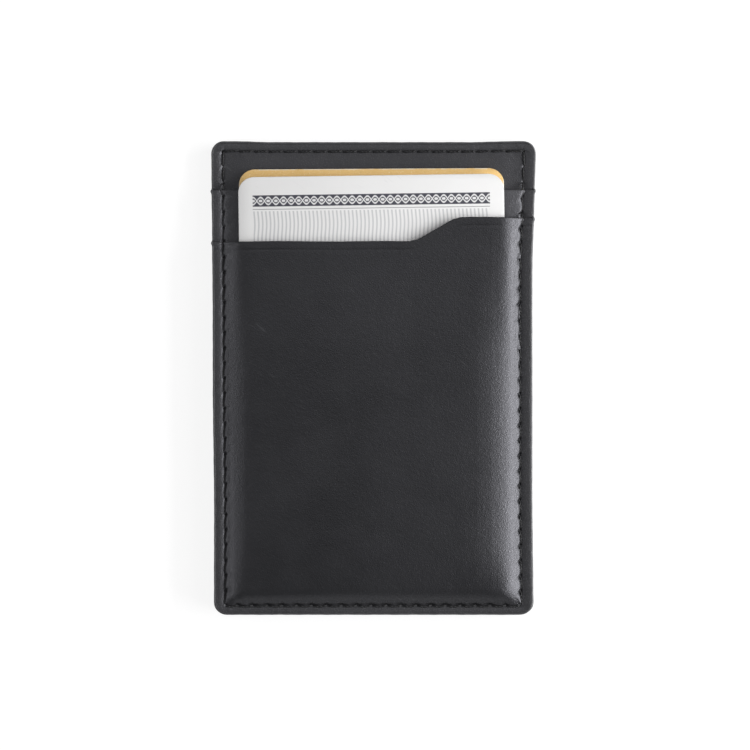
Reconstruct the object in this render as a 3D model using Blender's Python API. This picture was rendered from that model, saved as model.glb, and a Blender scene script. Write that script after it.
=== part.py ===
"""Stick-on phone wallet: a leather card holder with two pockets and an adhesive back.

It lies on its back. +Z points out of its front, +Y towards the mouths of its pockets, and
the origin is under its centre, on the surface that it lies on. Lengths are in metres.

From the back to the front it is built of a release liner, an adhesive pad, the rear leather,
a stiffener board, the facing leather, the middle pocket and the front pocket. One lockstitched
seam runs round all of them. Each pocket panel has a flat rim under the seam, a slope that
climbs over the edge of a card, and a mouth whose leather is turned in over its lining.
"""

import math

import bmesh
import bpy
from mathutils import Vector

MM = 0.001

# Payment card, the standard size that the pockets are cut for
CARD_WIDTH = 53.98 * MM
CARD_LENGTH = 85.60 * MM
CARD_THICKNESS = 0.76 * MM
CARD_CORNER = 3.18 * MM

# Contact plate, magnetic stripe and signature strip let into a card
PLATE_LENGTH = 13.0 * MM
PLATE_WIDTH = 11.8 * MM
PLATE_CORNER = 1.6 * MM
PLATE_THICKNESS = 0.20 * MM
PLATE_FROM_END = 10.0 * MM
PLATE_FROM_SIDE = 18.0 * MM
STRIPE_WIDTH = 12.7 * MM
STRIPE_FROM_SIDE = 4.0 * MM
SIGNATURE_LENGTH = 62.0 * MM
SIGNATURE_WIDTH = 9.5 * MM
SIGNATURE_FROM_STRIPE = 3.2 * MM
SIGNATURE_FROM_END = 8.0 * MM
STRIP_CORNER = 0.6 * MM
STRIP_THICKNESS = 0.10 * MM
INLAY_GAP = 0.10 * MM

# How the two cards sit in their pockets
CARD_PLAY = 0.10 * MM
CARD_SIDE_PLAY = 0.10 * MM
CARD_FOOT_PLAY = 0.10 * MM
FRONT_CARD_TILT = math.radians(0.8)
FRONT_CARD_SHIFT = 0.30 * MM
REAR_CARD_TILT = math.radians(0.35)
REAR_CARD_SHIFT = 0.05 * MM
REAR_CARD_LIFT = 1.65 * MM

# Thickness of each layer, and of the glue between two layers
GLUE_LINE = 0.10 * MM
LINER_THICKNESS = 0.15 * MM
PAD_THICKNESS = 0.70 * MM
REAR_THICKNESS = 0.90 * MM
BOARD_THICKNESS = 0.40 * MM
FACING_THICKNESS = 0.80 * MM
LINING_THICKNESS = 0.20 * MM
MIDDLE_THICKNESS = 0.70 * MM
FRONT_THICKNESS = 0.80 * MM

# Plan of the wallet
OUTLINE_CORNER = 2.60 * MM
COAT_THICKNESS = 0.20 * MM
EDGE_ROUND = 0.15 * MM
BOARD_INSET = 0.50 * MM
SEAM_SIDE = 2.40 * MM
SEAM_END = 1.95 * MM
SEAM_CORNER = 0.60 * MM
SIDE_RUN = 1.85 * MM
FOOT_RUN = 0.90 * MM
HEAD_ROOM = 6.65 * MM

# Pocket mouths, measured down from the wallet's head
MIDDLE_MOUTH_DROP = 9.80 * MM
FRONT_MOUTH_DROP = 15.5 * MM
MOUTH_STEP = 4.90 * MM
MOUTH_STEP_ANGLE = math.radians(30.0)
MOUTH_STEP_START = 8.45 * MM
MOUTH_BLEND = 1.60 * MM
MOUTH_ROUND = 0.35 * MM
MOUTH_ROUND_TURN = math.radians(60.0)
HEM_DEPTH = 6.00 * MM
HEM_INSET = 0.40 * MM
HEM_JOIN = 0.10 * MM
CREASE_FROM_MOUTH = 1.55 * MM
CREASE_WIDTH = 0.30 * MM
CREASE_DEPTH = 0.12 * MM

# Lockstitched seam
THREAD_DIAMETER = 0.36 * MM
THREAD_PROUD = 0.05 * MM
THREAD_DIP = 0.12 * MM
THREAD_SEAT = 0.07 * MM
STITCH_PITCH = 3.08 * MM
GROOVE_WIDTH = 0.90 * MM
GROOVE_FLOOR_WIDTH = 0.46 * MM

# Adhesive pad and its liner
PAD_WIDTH = 52.0 * MM
PAD_LENGTH = 82.0 * MM
PAD_CORNER = 4.0 * MM
LINER_MARGIN = 0.80 * MM
TAB_WIDTH = 16.0 * MM
TAB_REACH = 4.60 * MM
TAB_CORNER = 2.20 * MM

# How finely curves are cut, and how far a cutter runs past what it cuts
CORNER_STEPS = 5
SLOPE_STEPS = 6
BLEND_STEPS = 4
ROUND_STEPS = 3
OVERRUN = 2.0 * MM

THREAD_RADIUS = THREAD_DIAMETER / 2
GROOVE_DEPTH = THREAD_DIAMETER + THREAD_DIP + THREAD_SEAT - THREAD_PROUD
LEATHER_INSET = COAT_THICKNESS + GLUE_LINE

# Heights on the rim, where every layer lies flat under the seam
LINER_TOP = LINER_THICKNESS
PAD_BOTTOM = LINER_TOP + GLUE_LINE
REAR_BOTTOM = PAD_BOTTOM + PAD_THICKNESS + GLUE_LINE
BOARD_BOTTOM = REAR_BOTTOM + REAR_THICKNESS + GLUE_LINE
FACING_BOTTOM = BOARD_BOTTOM + BOARD_THICKNESS + GLUE_LINE
FACING_TOP = FACING_BOTTOM + FACING_THICKNESS
MIDDLE_LINING_BOTTOM = FACING_TOP + GLUE_LINE
MIDDLE_BOTTOM = MIDDLE_LINING_BOTTOM + LINING_THICKNESS + GLUE_LINE
MIDDLE_TOP = MIDDLE_BOTTOM + MIDDLE_THICKNESS
FRONT_LINING_BOTTOM = MIDDLE_TOP + GLUE_LINE
FRONT_BOTTOM = FRONT_LINING_BOTTOM + LINING_THICKNESS + GLUE_LINE
FRONT_TOP = FRONT_BOTTOM + FRONT_THICKNESS

# How far a pocket panel climbs from its rim to clear the cards under it
CARD_RISE = CARD_THICKNESS + 2 * CARD_PLAY - GLUE_LINE
MIDDLE_RISE = CARD_RISE
FRONT_RISE = 2 * CARD_RISE
REAR_CARD_BOTTOM = FACING_TOP + CARD_PLAY
FRONT_CARD_BOTTOM = MIDDLE_TOP + MIDDLE_RISE + CARD_PLAY

# Where the slope starts and where the flat over the cards starts, in from the outline
SLOPE_SIDE = SEAM_SIDE + GROOVE_WIDTH / 2
SLOPE_FOOT = SEAM_END + GROOVE_WIDTH / 2


def tilted_reach(along, across, tilt):
    """Half of what a card with round corners takes up along one axis when it is tilted."""
    straight = (along / 2 - CARD_CORNER) * math.cos(tilt) + (across / 2 - CARD_CORNER) * math.sin(tilt)
    return straight + CARD_CORNER


CARD_REACH_X = FRONT_CARD_SHIFT + tilted_reach(CARD_WIDTH, CARD_LENGTH, FRONT_CARD_TILT)
HALF_WIDTH = CARD_REACH_X + CARD_SIDE_PLAY + SIDE_RUN + SLOPE_SIDE
CARD_FOOT = SLOPE_FOOT + FOOT_RUN + CARD_FOOT_PLAY
FRONT_CARD_REACH = tilted_reach(CARD_LENGTH, CARD_WIDTH, FRONT_CARD_TILT)
REAR_CARD_REACH = tilted_reach(CARD_LENGTH, CARD_WIDTH, REAR_CARD_TILT)
HALF_LENGTH = (CARD_FOOT + 2 * FRONT_CARD_REACH + HEAD_ROOM) / 2
FRONT_CARD_Y = -HALF_LENGTH + CARD_FOOT + FRONT_CARD_REACH
REAR_CARD_Y = -HALF_LENGTH + CARD_FOOT + REAR_CARD_LIFT + REAR_CARD_REACH
MIDDLE_MOUTH_Y = HALF_LENGTH - MIDDLE_MOUTH_DROP
FRONT_MOUTH_Y = HALF_LENGTH - FRONT_MOUTH_DROP
FRONT_MOUTH_LOW_Y = FRONT_MOUTH_Y - MOUTH_STEP


def clear_scene():
    for old in list(bpy.data.objects):
        bpy.data.objects.remove(old)


def make_material(name, colour, roughness, metallic=0.0):
    made = bpy.data.materials.new(name)
    made.use_nodes = True
    shader = made.node_tree.nodes["Principled BSDF"]
    shader.inputs["Base Color"].default_value = (*colour, 1.0)
    shader.inputs["Roughness"].default_value = roughness
    shader.inputs["Metallic"].default_value = metallic
    made.diffuse_color = (*colour, 1.0)
    return made


def make_object(name, mesh, finish):
    made = bpy.data.objects.new(name, mesh)
    bpy.context.scene.collection.objects.link(made)
    made.data.materials.append(finish)
    return made


def mesh_from(name, bm):
    bmesh.ops.recalc_face_normals(bm, faces=bm.faces)
    mesh = bpy.data.meshes.new(name)
    bm.to_mesh(mesh)
    bm.free()
    return mesh


def hide_cutter(cutter):
    cutter.hide_render = True
    cutter.display_type = "WIRE"


def add_boolean(target, other, operation):
    modifier = target.modifiers.new(f"{operation.lower()}_{other.name}", "BOOLEAN")
    modifier.operation = operation
    modifier.solver = "EXACT"
    modifier.object = other
    hide_cutter(other)


# Outlines


def corner_arc(centre_x, centre_y, radius, start):
    """A quarter circle, anticlockwise from the angle start."""
    turns = [start + math.pi / 2 * step / CORNER_STEPS for step in range(CORNER_STEPS + 1)]
    return [
        (centre_x + radius * math.cos(turn), centre_y + radius * math.sin(turn))
        for turn in turns
    ]


def rounded_rectangle(left, right, low, high, radius, stops=None):
    """A closed outline, anticlockwise from its top left corner.

    With stops, its left and right sides each have two more points, where a groove that comes
    down from the head rises to the surface.
    """
    left_breaks, right_breaks = side_breaks(stops)
    return (
        corner_arc(left + radius, high - radius, radius, math.pi / 2)
        + [(left, y) for y in left_breaks]
        + corner_arc(left + radius, low + radius, radius, math.pi)
        + corner_arc(right - radius, low + radius, radius, math.pi * 3 / 2)
        + [(right, y) for y in reversed(right_breaks)]
        + corner_arc(right - radius, high - radius, radius, 0)
    )


def side_breaks(stops):
    """The heights on the left and on the right side at which a groove ends, going down."""
    return [[stop, stop - GROOVE_DEPTH] for stop in stops] if stops else [[], []]


def inset_outline(side, end, radius, stops=None):
    """The wallet's outline, taken in by side along its long edges and by end at head and foot."""
    return rounded_rectangle(
        -HALF_WIDTH + side,
        HALF_WIDTH - side,
        -HALF_LENGTH + end,
        HALF_LENGTH - end,
        radius,
        stops,
    )


def open_outline(side, end, radius, stops=None):
    """The same outline without its head: a U that runs from one mouth corner to the other."""
    left = -HALF_WIDTH + side
    low = -HALF_LENGTH + end
    high = HALF_LENGTH
    left_breaks, right_breaks = side_breaks(stops)
    return (
        [(left, high)]
        + [(left, y) for y in left_breaks]
        + corner_arc(left + radius, low + radius, radius, math.pi)
        + corner_arc(-left - radius, low + radius, radius, math.pi * 3 / 2)
        + [(-left, y) for y in reversed(right_breaks)]
        + [(-left, high)]
    )


# Solids


def prism(name, outline, bottom, top, finish):
    """An outline in the XY plane, extruded from bottom to top."""
    bm = bmesh.new()
    base = bm.faces.new([bm.verts.new((x, y, bottom)) for x, y in outline])
    raised = bmesh.ops.extrude_face_region(bm, geom=[base])["geom"]
    moved = [item for item in raised if isinstance(item, bmesh.types.BMVert)]
    bmesh.ops.translate(bm, verts=moved, vec=(0, 0, top - bottom))
    return make_object(name, mesh_from(name, bm), finish)


def lofted(name, section, is_open, finish, stops=None):
    """A panel skinned over a section, given as stations from its middle round to its middle.

    Each station holds the side inset, the end inset and the corner radius of one ring, its
    height, and how far a groove sinks it. Given stops, the groove comes down from the head and
    ends there. The first and last ring are filled, and an open panel has a flat end at its head.
    """
    outline = open_outline if is_open else inset_outline
    bm = bmesh.new()
    rings = []
    for side, end, radius, height, sink in section:
        points = outline(side, end, radius, stops)
        sinks = [sink if is_grooved(x, y, stops) else 0 for x, y in points]
        rings.append([bm.verts.new((x, y, height - drop)) for (x, y), drop in zip(points, sinks)])
    for inner, outer in zip(rings, rings[1:]):
        count = len(inner)
        for i in range(count - 1 if is_open else count):
            j = (i + 1) % count
            bm.faces.new((inner[i], inner[j], outer[j], outer[i]))
    bm.faces.new(rings[0])
    bm.faces.new(rings[-1])
    if is_open:
        bm.faces.new([ring[0] for ring in rings] + [ring[-1] for ring in reversed(rings)])
    return make_object(name, mesh_from(name, bm), finish)


def is_grooved(x, y, stops):
    """Whether the groove is open at a point: above its stop on that side, or all round."""
    return not stops or y >= stops[0 if x < 0 else 1]


def edge_stations(bottom, top, inset=LEATHER_INSET):
    """The cut edge of a layer, with both of its arrises eased by no more than the layer allows."""
    radius = OUTLINE_CORNER - inset
    ease = min(EDGE_ROUND, (top - bottom) / 4)
    return [
        (inset + ease, inset + ease, radius - ease, bottom, 0),
        (inset, inset, radius, bottom + ease, 0),
        (inset, inset, radius, top - ease, 0),
        (inset + ease, inset + ease, radius - ease, top, 0),
    ]


def groove_stations(surface, depth):
    """The stitching groove, from its outer lip to its inner one. A negative depth cuts upwards."""
    lip = GROOVE_WIDTH / 2
    floor = GROOVE_FLOOR_WIDTH / 2
    across = [(-lip, 0), (-floor, depth), (floor, depth), (lip, 0)]
    return [
        (SEAM_SIDE + offset, SEAM_END + offset, SEAM_CORNER - offset, surface, sink)
        for offset, sink in across
    ]


def slope_stations(base, rise):
    """The climb from the seam to the flat over the cards, as a smooth S."""
    stations = []
    for step in range(SLOPE_STEPS + 1):
        share = step / SLOPE_STEPS
        climb = share * share * (3 - 2 * share)
        radius = SEAM_CORNER + (CARD_CORNER - SEAM_CORNER) * share
        side = SLOPE_SIDE + SIDE_RUN * share
        end = SLOPE_FOOT + FOOT_RUN * share
        stations.append((side, end, radius, base + rise * climb, 0))
    return stations


def formed_panel(name, bottom, top, rise, finish, inset=LEATHER_INSET, grooved=False, stops=None):
    """A pocket layer whose head is still square and as high as the wallet."""
    under = list(reversed(slope_stations(bottom, rise)))
    over = groove_stations(top, GROOVE_DEPTH)[:-1] if grooved else []
    section = under + edge_stations(bottom, top, inset) + over + slope_stations(top, rise)
    return lofted(name, section, True, finish, stops)


# Pocket mouths


def stepped_mouth(drop):
    """The front pocket's mouth line, moved down square to itself by drop, left to right."""
    low_y = FRONT_MOUTH_LOW_Y - drop
    high_y = FRONT_MOUTH_Y - drop
    start_x = MOUTH_STEP_START + drop * math.tan(MOUTH_STEP_ANGLE / 2)
    end_x = start_x + MOUTH_STEP / math.tan(MOUTH_STEP_ANGLE)
    reach = HALF_WIDTH + OVERRUN
    return (
        [(-reach, low_y)]
        + blended_corner(start_x, low_y, 0, MOUTH_STEP_ANGLE)
        + blended_corner(end_x, high_y, MOUTH_STEP_ANGLE, 0)
        + [(reach, high_y)]
    )


def blended_corner(x, y, heading_in, heading_out):
    """A corner between two headings, rounded by a curve that leaves each at MOUTH_BLEND."""
    points = []
    for step in range(BLEND_STEPS + 1):
        share = step / BLEND_STEPS
        before = MOUTH_BLEND * (1 - share) ** 2
        after = MOUTH_BLEND * share**2
        points.append(
            (
                x - before * math.cos(heading_in) + after * math.cos(heading_out),
                y - before * math.sin(heading_in) + after * math.sin(heading_out),
            )
        )
    return points


def straight_mouth(drop):
    """The middle pocket's mouth line, moved down by drop, left to right."""
    reach = HALF_WIDTH + OVERRUN
    return [(-reach, MIDDLE_MOUTH_Y - drop), (reach, MIDDLE_MOUTH_Y - drop)]


def above(name, mouth, levels, finish):
    """A cutter that fills everything above a mouth line, skinned over its levels.

    Each level holds how far the mouth line is moved down there, and its height.
    """
    head = HALF_LENGTH + OVERRUN
    bm = bmesh.new()
    rings = []
    for drop, height in levels:
        line = mouth(drop)
        outline = line + [(line[-1][0], head), (line[0][0], head)]
        rings.append([bm.verts.new((x, y, height)) for x, y in outline])
    for lower, upper in zip(rings, rings[1:]):
        for i, point in enumerate(lower):
            j = (i + 1) % len(lower)
            bm.faces.new((point, lower[j], upper[j], upper[i]))
    bm.faces.new(rings[0])
    bm.faces.new(rings[-1])
    return make_object(name, mesh_from(name, bm), finish)


def upright(drop, bottom=-OVERRUN):
    """The levels of a cutter whose mouth line is moved down alike at every height."""
    return [(drop, bottom), (drop, FRONT_TOP + FRONT_RISE + OVERRUN)]


def rounded(top):
    """The levels of a cutter that leaves the upper edge of a mouth rounded at the height top."""
    levels = [(0, -OVERRUN)]
    for step in range(ROUND_STEPS + 1):
        turn = MOUTH_ROUND_TURN * step / ROUND_STEPS
        drop = MOUTH_ROUND * (1 - math.cos(turn))
        levels.append((drop, top - MOUTH_ROUND * (1 - math.sin(turn))))
    drop, height = levels[-1]
    levels.append((drop + OVERRUN * math.sin(turn), height + OVERRUN * math.cos(turn)))
    return levels


def mouth_crease(leather):
    """A cutter for the line creased into the front pocket, side by side with its mouth."""
    near = stepped_mouth(CREASE_FROM_MOUTH)
    far = stepped_mouth(CREASE_FROM_MOUTH + CREASE_WIDTH)
    floor = FRONT_TOP + FRONT_RISE - CREASE_DEPTH
    return prism("mouth_crease", far + near[::-1], floor, floor + OVERRUN, leather)


def pocket(prefix, heights, rise, mouth, stops, leather, lining):
    """A pocket of two layers: leather, turned in at the mouth, and the lining behind it."""
    lining_bottom, leather_bottom, leather_top = heights
    panel = formed_panel(
        f"{prefix}_pocket_leather",
        leather_bottom,
        leather_top,
        rise,
        leather,
        grooved=True,
        stops=stops,
    )
    turned = formed_panel(
        f"{prefix}_turned_hem",
        lining_bottom,
        leather_bottom + HEM_JOIN,
        rise,
        leather,
        LEATHER_INSET + HEM_INSET,
    )
    add_boolean(turned, above(f"{prefix}_hem_band", mouth, upright(HEM_DEPTH), leather), "INTERSECT")
    add_boolean(panel, turned, "UNION")
    add_boolean(panel, above(f"{prefix}_mouth", mouth, rounded(leather_top + rise), leather), "DIFFERENCE")
    backing = formed_panel(
        f"{prefix}_pocket_lining",
        lining_bottom,
        lining_bottom + LINING_THICKNESS,
        rise,
        lining,
    )
    lining_end = above(f"{prefix}_lining_end", mouth, upright(HEM_DEPTH + GLUE_LINE), lining)
    add_boolean(backing, lining_end, "DIFFERENCE")
    return panel


# Back panel


def rear_leather(leather):
    """The leather that the adhesive holds, grooved at the back for the bobbin thread."""
    top = REAR_BOTTOM + REAR_THICKNESS
    groove = list(reversed(groove_stations(REAR_BOTTOM, -GROOVE_DEPTH)))
    lofted("rear_leather", groove + edge_stations(REAR_BOTTOM, top), False, leather)


def stiffener_board(board):
    inset = LEATHER_INSET + BOARD_INSET
    outline = inset_outline(inset, inset, OUTLINE_CORNER - inset)
    prism("stiffener_board", outline, BOARD_BOTTOM, BOARD_BOTTOM + BOARD_THICKNESS, board)


def facing_leather(leather):
    """The leather in front of the board. It shows above the pockets and backs both of them."""
    section = edge_stations(FACING_BOTTOM, FACING_TOP) + groove_stations(FACING_TOP, GROOVE_DEPTH)
    stops = (MIDDLE_MOUTH_Y, MIDDLE_MOUTH_Y)
    lofted("facing_leather", section, False, leather, stops)


def edge_coat(coat):
    """The film of edge paint round all layers, stepped down where each pocket ends."""
    eased = OUTLINE_CORNER - COAT_THICKNESS
    section = [
        (COAT_THICKNESS, COAT_THICKNESS, eased, REAR_BOTTOM),
        (0, 0, OUTLINE_CORNER, REAR_BOTTOM + COAT_THICKNESS),
        (0, 0, OUTLINE_CORNER, FRONT_TOP - COAT_THICKNESS),
        (COAT_THICKNESS, COAT_THICKNESS, eased, FRONT_TOP),
    ]
    bm = bmesh.new()
    rings = [
        [bm.verts.new((x, y, z)) for x, y in inset_outline(side, end, radius)]
        for side, end, radius, z in section
    ]
    for lower, upper in zip(rings, rings[1:] + rings[:1]):
        for i, point in enumerate(lower):
            j = (i + 1) % len(lower)
            bm.faces.new((point, lower[j], upper[j], upper[i]))
    film = make_object("edge_coat", mesh_from("edge_coat", bm), coat)
    front_step = above("front_step", stepped_mouth, upright(0, MIDDLE_TOP), coat)
    add_boolean(film, front_step, "DIFFERENCE")
    middle_step = above("middle_step", straight_mouth, upright(0, FACING_TOP), coat)
    add_boolean(film, middle_step, "DIFFERENCE")


# Seam


def seam_path():
    """Points and distances round the seam's centre line, anticlockwise from its top left."""
    points = [Vector(point) for point in inset_outline(SEAM_SIDE, SEAM_END, SEAM_CORNER)]
    points.append(points[0])
    travelled = [0.0]
    for start, end in zip(points, points[1:]):
        travelled.append(travelled[-1] + (end - start).length)
    return points, travelled


def point_along(points, travelled, distance):
    for i in range(len(points) - 1):
        if distance <= travelled[i + 1]:
            share = (distance - travelled[i]) / (travelled[i + 1] - travelled[i])
            return points[i].lerp(points[i + 1], share)
    return points[-1]


def mouth_climbs(point):
    """Where along Y the thread climbs the front and the middle mouth, on this side."""
    clear = THREAD_RADIUS + THREAD_SEAT
    front_mouth = FRONT_MOUTH_Y if point.x > 0 else FRONT_MOUTH_LOW_Y
    return [front_mouth + clear, MIDDLE_MOUTH_Y + clear]


def surface_at(point):
    """The height of the outermost layer under the seam at a point."""
    front_climb, middle_climb = mouth_climbs(point)
    if point.y < front_climb:
        return FRONT_TOP
    if point.y < middle_climb:
        return MIDDLE_TOP
    return FACING_TOP


def seam_stations():
    """Distances round the seam at which its thread has a point, with the share it has risen.

    A stitch leaves its hole, runs level over the middle half of its pitch and dips again.
    """
    points, travelled = seam_path()
    count = round(travelled[-1] / STITCH_PITCH)
    pitch = travelled[-1] / count
    level_shares = (0, 0.25, 0.75)
    stations = [
        (pitch * (stitch + share), 1 if share else 0)
        for stitch in range(count)
        for share in level_shares
    ]
    near_corner = [
        (distance, risen_at(distance, pitch))
        for distance in travelled[1:-1]
        if all(abs(distance - other) > THREAD_RADIUS for other, _ in stations)
    ]
    return points, travelled, sorted(stations + near_corner)


def risen_at(distance, pitch):
    """The share of its height that the thread has risen to at a distance round the seam."""
    phase = distance / pitch % 1
    return min(1, 4 * phase, 4 * (1 - phase))


def needle_thread(thread):
    """The thread on the front: it climbs over each pocket mouth that the seam crosses."""
    points, travelled, stations = seam_stations()
    route = []
    last = None
    for distance, risen in stations:
        at = point_along(points, travelled, distance)
        surface = surface_at(at)
        if last and surface != last[1]:
            step_y = mouth_between(last[0], at)
            for height in (last[1], surface):
                route.append((at.x, step_y, height + THREAD_PROUD - THREAD_RADIUS))
        sink = THREAD_RADIUS - THREAD_PROUD + THREAD_DIP * (1 - risen)
        if not near_mouth(at):
            route.append((at.x, at.y, surface - sink))
        last = (at, surface)
    thread_tube("needle_thread", route, thread)


def mouth_between(start, end):
    low, high = sorted((start.y, end.y))
    return next(y for y in mouth_climbs(end) if low <= y <= high)


def near_mouth(point):
    """Whether a point is so near a climb that the thread would fold on itself."""
    return any(abs(point.y - y) < THREAD_DIAMETER for y in mouth_climbs(point))


def bobbin_thread(thread):
    """The thread on the back, level all the way round."""
    points, travelled, stations = seam_stations()
    route = []
    for distance, risen in stations:
        at = point_along(points, travelled, distance)
        sink = THREAD_RADIUS - THREAD_PROUD + THREAD_DIP * (1 - risen)
        route.append((at.x, at.y, REAR_BOTTOM + sink))
    thread_tube("bobbin_thread", route, thread)


def thread_tube(name, route, thread):
    """A closed round thread along a route."""
    curve = bpy.data.curves.new(name, "CURVE")
    curve.dimensions = "3D"
    curve.bevel_depth = THREAD_RADIUS
    curve.bevel_resolution = 1
    spline = curve.splines.new("POLY")
    spline.points.add(len(route) - 1)
    for point, place in zip(spline.points, route):
        point.co = (*place, 1.0)
    spline.use_cyclic_u = True
    make_object(name, curve, thread)


# Adhesive


def adhesive_pad(adhesive):
    outline = rounded_rectangle(
        -PAD_WIDTH / 2, PAD_WIDTH / 2, -PAD_LENGTH / 2, PAD_LENGTH / 2, PAD_CORNER
    )
    prism("adhesive_pad", outline, PAD_BOTTOM, PAD_BOTTOM + PAD_THICKNESS, adhesive)


def release_liner(paper):
    """The paper over the adhesive, with a tab to lift at the head. It peels towards the foot."""
    half_width = PAD_WIDTH / 2 + LINER_MARGIN
    half_length = PAD_LENGTH / 2 + LINER_MARGIN
    corner = PAD_CORNER + LINER_MARGIN
    tab_side = TAB_WIDTH / 2
    tab_top = half_length + TAB_REACH
    outline = (
        corner_arc(-half_width + corner, half_length - corner, corner, math.pi / 2)
        + corner_arc(-half_width + corner, -half_length + corner, corner, math.pi)
        + corner_arc(half_width - corner, -half_length + corner, corner, math.pi * 3 / 2)
        + corner_arc(half_width - corner, half_length - corner, corner, 0)
        + [(tab_side, half_length)]
        + corner_arc(tab_side - TAB_CORNER, tab_top - TAB_CORNER, TAB_CORNER, 0)
        + corner_arc(-tab_side + TAB_CORNER, tab_top - TAB_CORNER, TAB_CORNER, math.pi / 2)
        + [(-tab_side, half_length)]
    )
    peel_axis = Vector((0, -half_length, LINER_THICKNESS / 2))
    placed = [(x - peel_axis.x, y - peel_axis.y) for x, y in outline]
    liner = prism("release_liner", placed, -LINER_THICKNESS / 2, LINER_THICKNESS / 2, paper)
    liner.parent = joint_empty("release_liner_peel", peel_axis)


def joint_empty(name, place, turn=0.0):
    empty = bpy.data.objects.new(name, None)
    empty.location = place
    empty.rotation_euler = (0, 0, turn)
    bpy.context.scene.collection.objects.link(empty)
    return empty


# Cards


def let_in(card, name, box, corner, bottom, top, opens_up, finish):
    """A thin inlay, flush with one face of the card, in a recess with a gap round it."""
    left, right, low, high = box
    inlay = prism(name, rounded_rectangle(left, right, low, high, corner), bottom, top, finish)
    recess_box = (left - INLAY_GAP, right + INLAY_GAP, low - INLAY_GAP, high + INLAY_GAP)
    recess_bottom = bottom - (INLAY_GAP if opens_up else OVERRUN)
    recess_top = top + (OVERRUN if opens_up else INLAY_GAP)
    recess = prism(
        f"{name}_recess",
        rounded_rectangle(*recess_box, corner + INLAY_GAP),
        recess_bottom,
        recess_top,
        finish,
    )
    add_boolean(card, recess, "DIFFERENCE")
    return [inlay, recess]


def payment_card(prefix, place, tilt, finishes):
    """A card that stands on its left end, so that its contact plate is deep in the pocket."""
    face, plate, stripe, signature = finishes
    half_width = CARD_WIDTH / 2
    half_length = CARD_LENGTH / 2
    outline = rounded_rectangle(-half_width, half_width, -half_length, half_length, CARD_CORNER)
    card = prism(prefix, outline, 0, CARD_THICKNESS, face)
    plate_left = -half_width + PLATE_FROM_SIDE
    plate_low = -half_length + PLATE_FROM_END
    pieces = [card]
    pieces += let_in(
        card,
        f"{prefix}_contact_plate",
        (plate_left, plate_left + PLATE_WIDTH, plate_low, plate_low + PLATE_LENGTH),
        PLATE_CORNER,
        CARD_THICKNESS - PLATE_THICKNESS,
        CARD_THICKNESS,
        True,
        plate,
    )
    stripe_left = -half_width + STRIPE_FROM_SIDE
    stripe_right = stripe_left + STRIPE_WIDTH
    stripe_end = half_length - INLAY_GAP - STRIP_CORNER
    pieces += let_in(
        card,
        f"{prefix}_magnetic_stripe",
        (stripe_left, stripe_right, -stripe_end, stripe_end),
        STRIP_CORNER,
        0,
        STRIP_THICKNESS,
        False,
        stripe,
    )
    signature_left = stripe_right + SIGNATURE_FROM_STRIPE
    signature_low = -half_length + SIGNATURE_FROM_END
    pieces += let_in(
        card,
        f"{prefix}_signature_strip",
        (
            signature_left,
            signature_left + SIGNATURE_WIDTH,
            signature_low,
            signature_low + SIGNATURE_LENGTH,
        ),
        STRIP_CORNER,
        0,
        STRIP_THICKNESS,
        False,
        signature,
    )
    slide = joint_empty(f"{prefix}_slide", place, tilt)
    for piece in pieces:
        piece.parent = slide


def main():
    clear_scene()
    leather = make_material("black_leather", (0.035, 0.036, 0.039), 0.42)
    lining = make_material("black_lining", (0.022, 0.022, 0.024), 0.85)
    board = make_material("grey_board", (0.30, 0.29, 0.27), 0.9)
    coat = make_material("edge_paint", (0.045, 0.045, 0.048), 0.35)
    thread = make_material("black_thread", (0.018, 0.018, 0.020), 0.6)
    adhesive = make_material("grey_adhesive", (0.20, 0.20, 0.21), 0.5)
    paper = make_material("liner_paper", (0.78, 0.77, 0.72), 0.55)
    gold = make_material("gold_card_face", (0.64, 0.43, 0.17), 0.4, 0.3)
    silver = make_material("silver_card_face", (0.78, 0.78, 0.77), 0.4)
    contact = make_material("contact_metal", (0.72, 0.56, 0.28), 0.25, 1.0)
    stripe = make_material("magnetic_stripe", (0.03, 0.025, 0.022), 0.3)
    signature = make_material("signature_strip", (0.85, 0.85, 0.82), 0.7)

    release_liner(paper)
    adhesive_pad(adhesive)
    rear_leather(leather)
    stiffener_board(board)
    facing_leather(leather)
    middle_heights = (MIDDLE_LINING_BOTTOM, MIDDLE_BOTTOM, MIDDLE_TOP)
    groove_ends = (FRONT_MOUTH_LOW_Y, FRONT_MOUTH_Y)
    pocket("middle", middle_heights, MIDDLE_RISE, straight_mouth, groove_ends, leather, lining)
    front_heights = (FRONT_LINING_BOTTOM, FRONT_BOTTOM, FRONT_TOP)
    front = pocket("front", front_heights, FRONT_RISE, stepped_mouth, None, leather, lining)
    add_boolean(front, mouth_crease(leather), "DIFFERENCE")
    edge_coat(coat)
    needle_thread(thread)
    bobbin_thread(thread)
    payment_card(
        "rear_card",
        (REAR_CARD_SHIFT, REAR_CARD_Y, REAR_CARD_BOTTOM),
        REAR_CARD_TILT,
        (gold, contact, stripe, signature),
    )
    payment_card(
        "front_card",
        (FRONT_CARD_SHIFT, FRONT_CARD_Y, FRONT_CARD_BOTTOM),
        FRONT_CARD_TILT,
        (silver, contact, stripe, signature),
    )


main()
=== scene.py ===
import math
from dataclasses import dataclass

import bmesh
import bpy
import numpy as np
from mathutils import Matrix, Vector, noise


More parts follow.
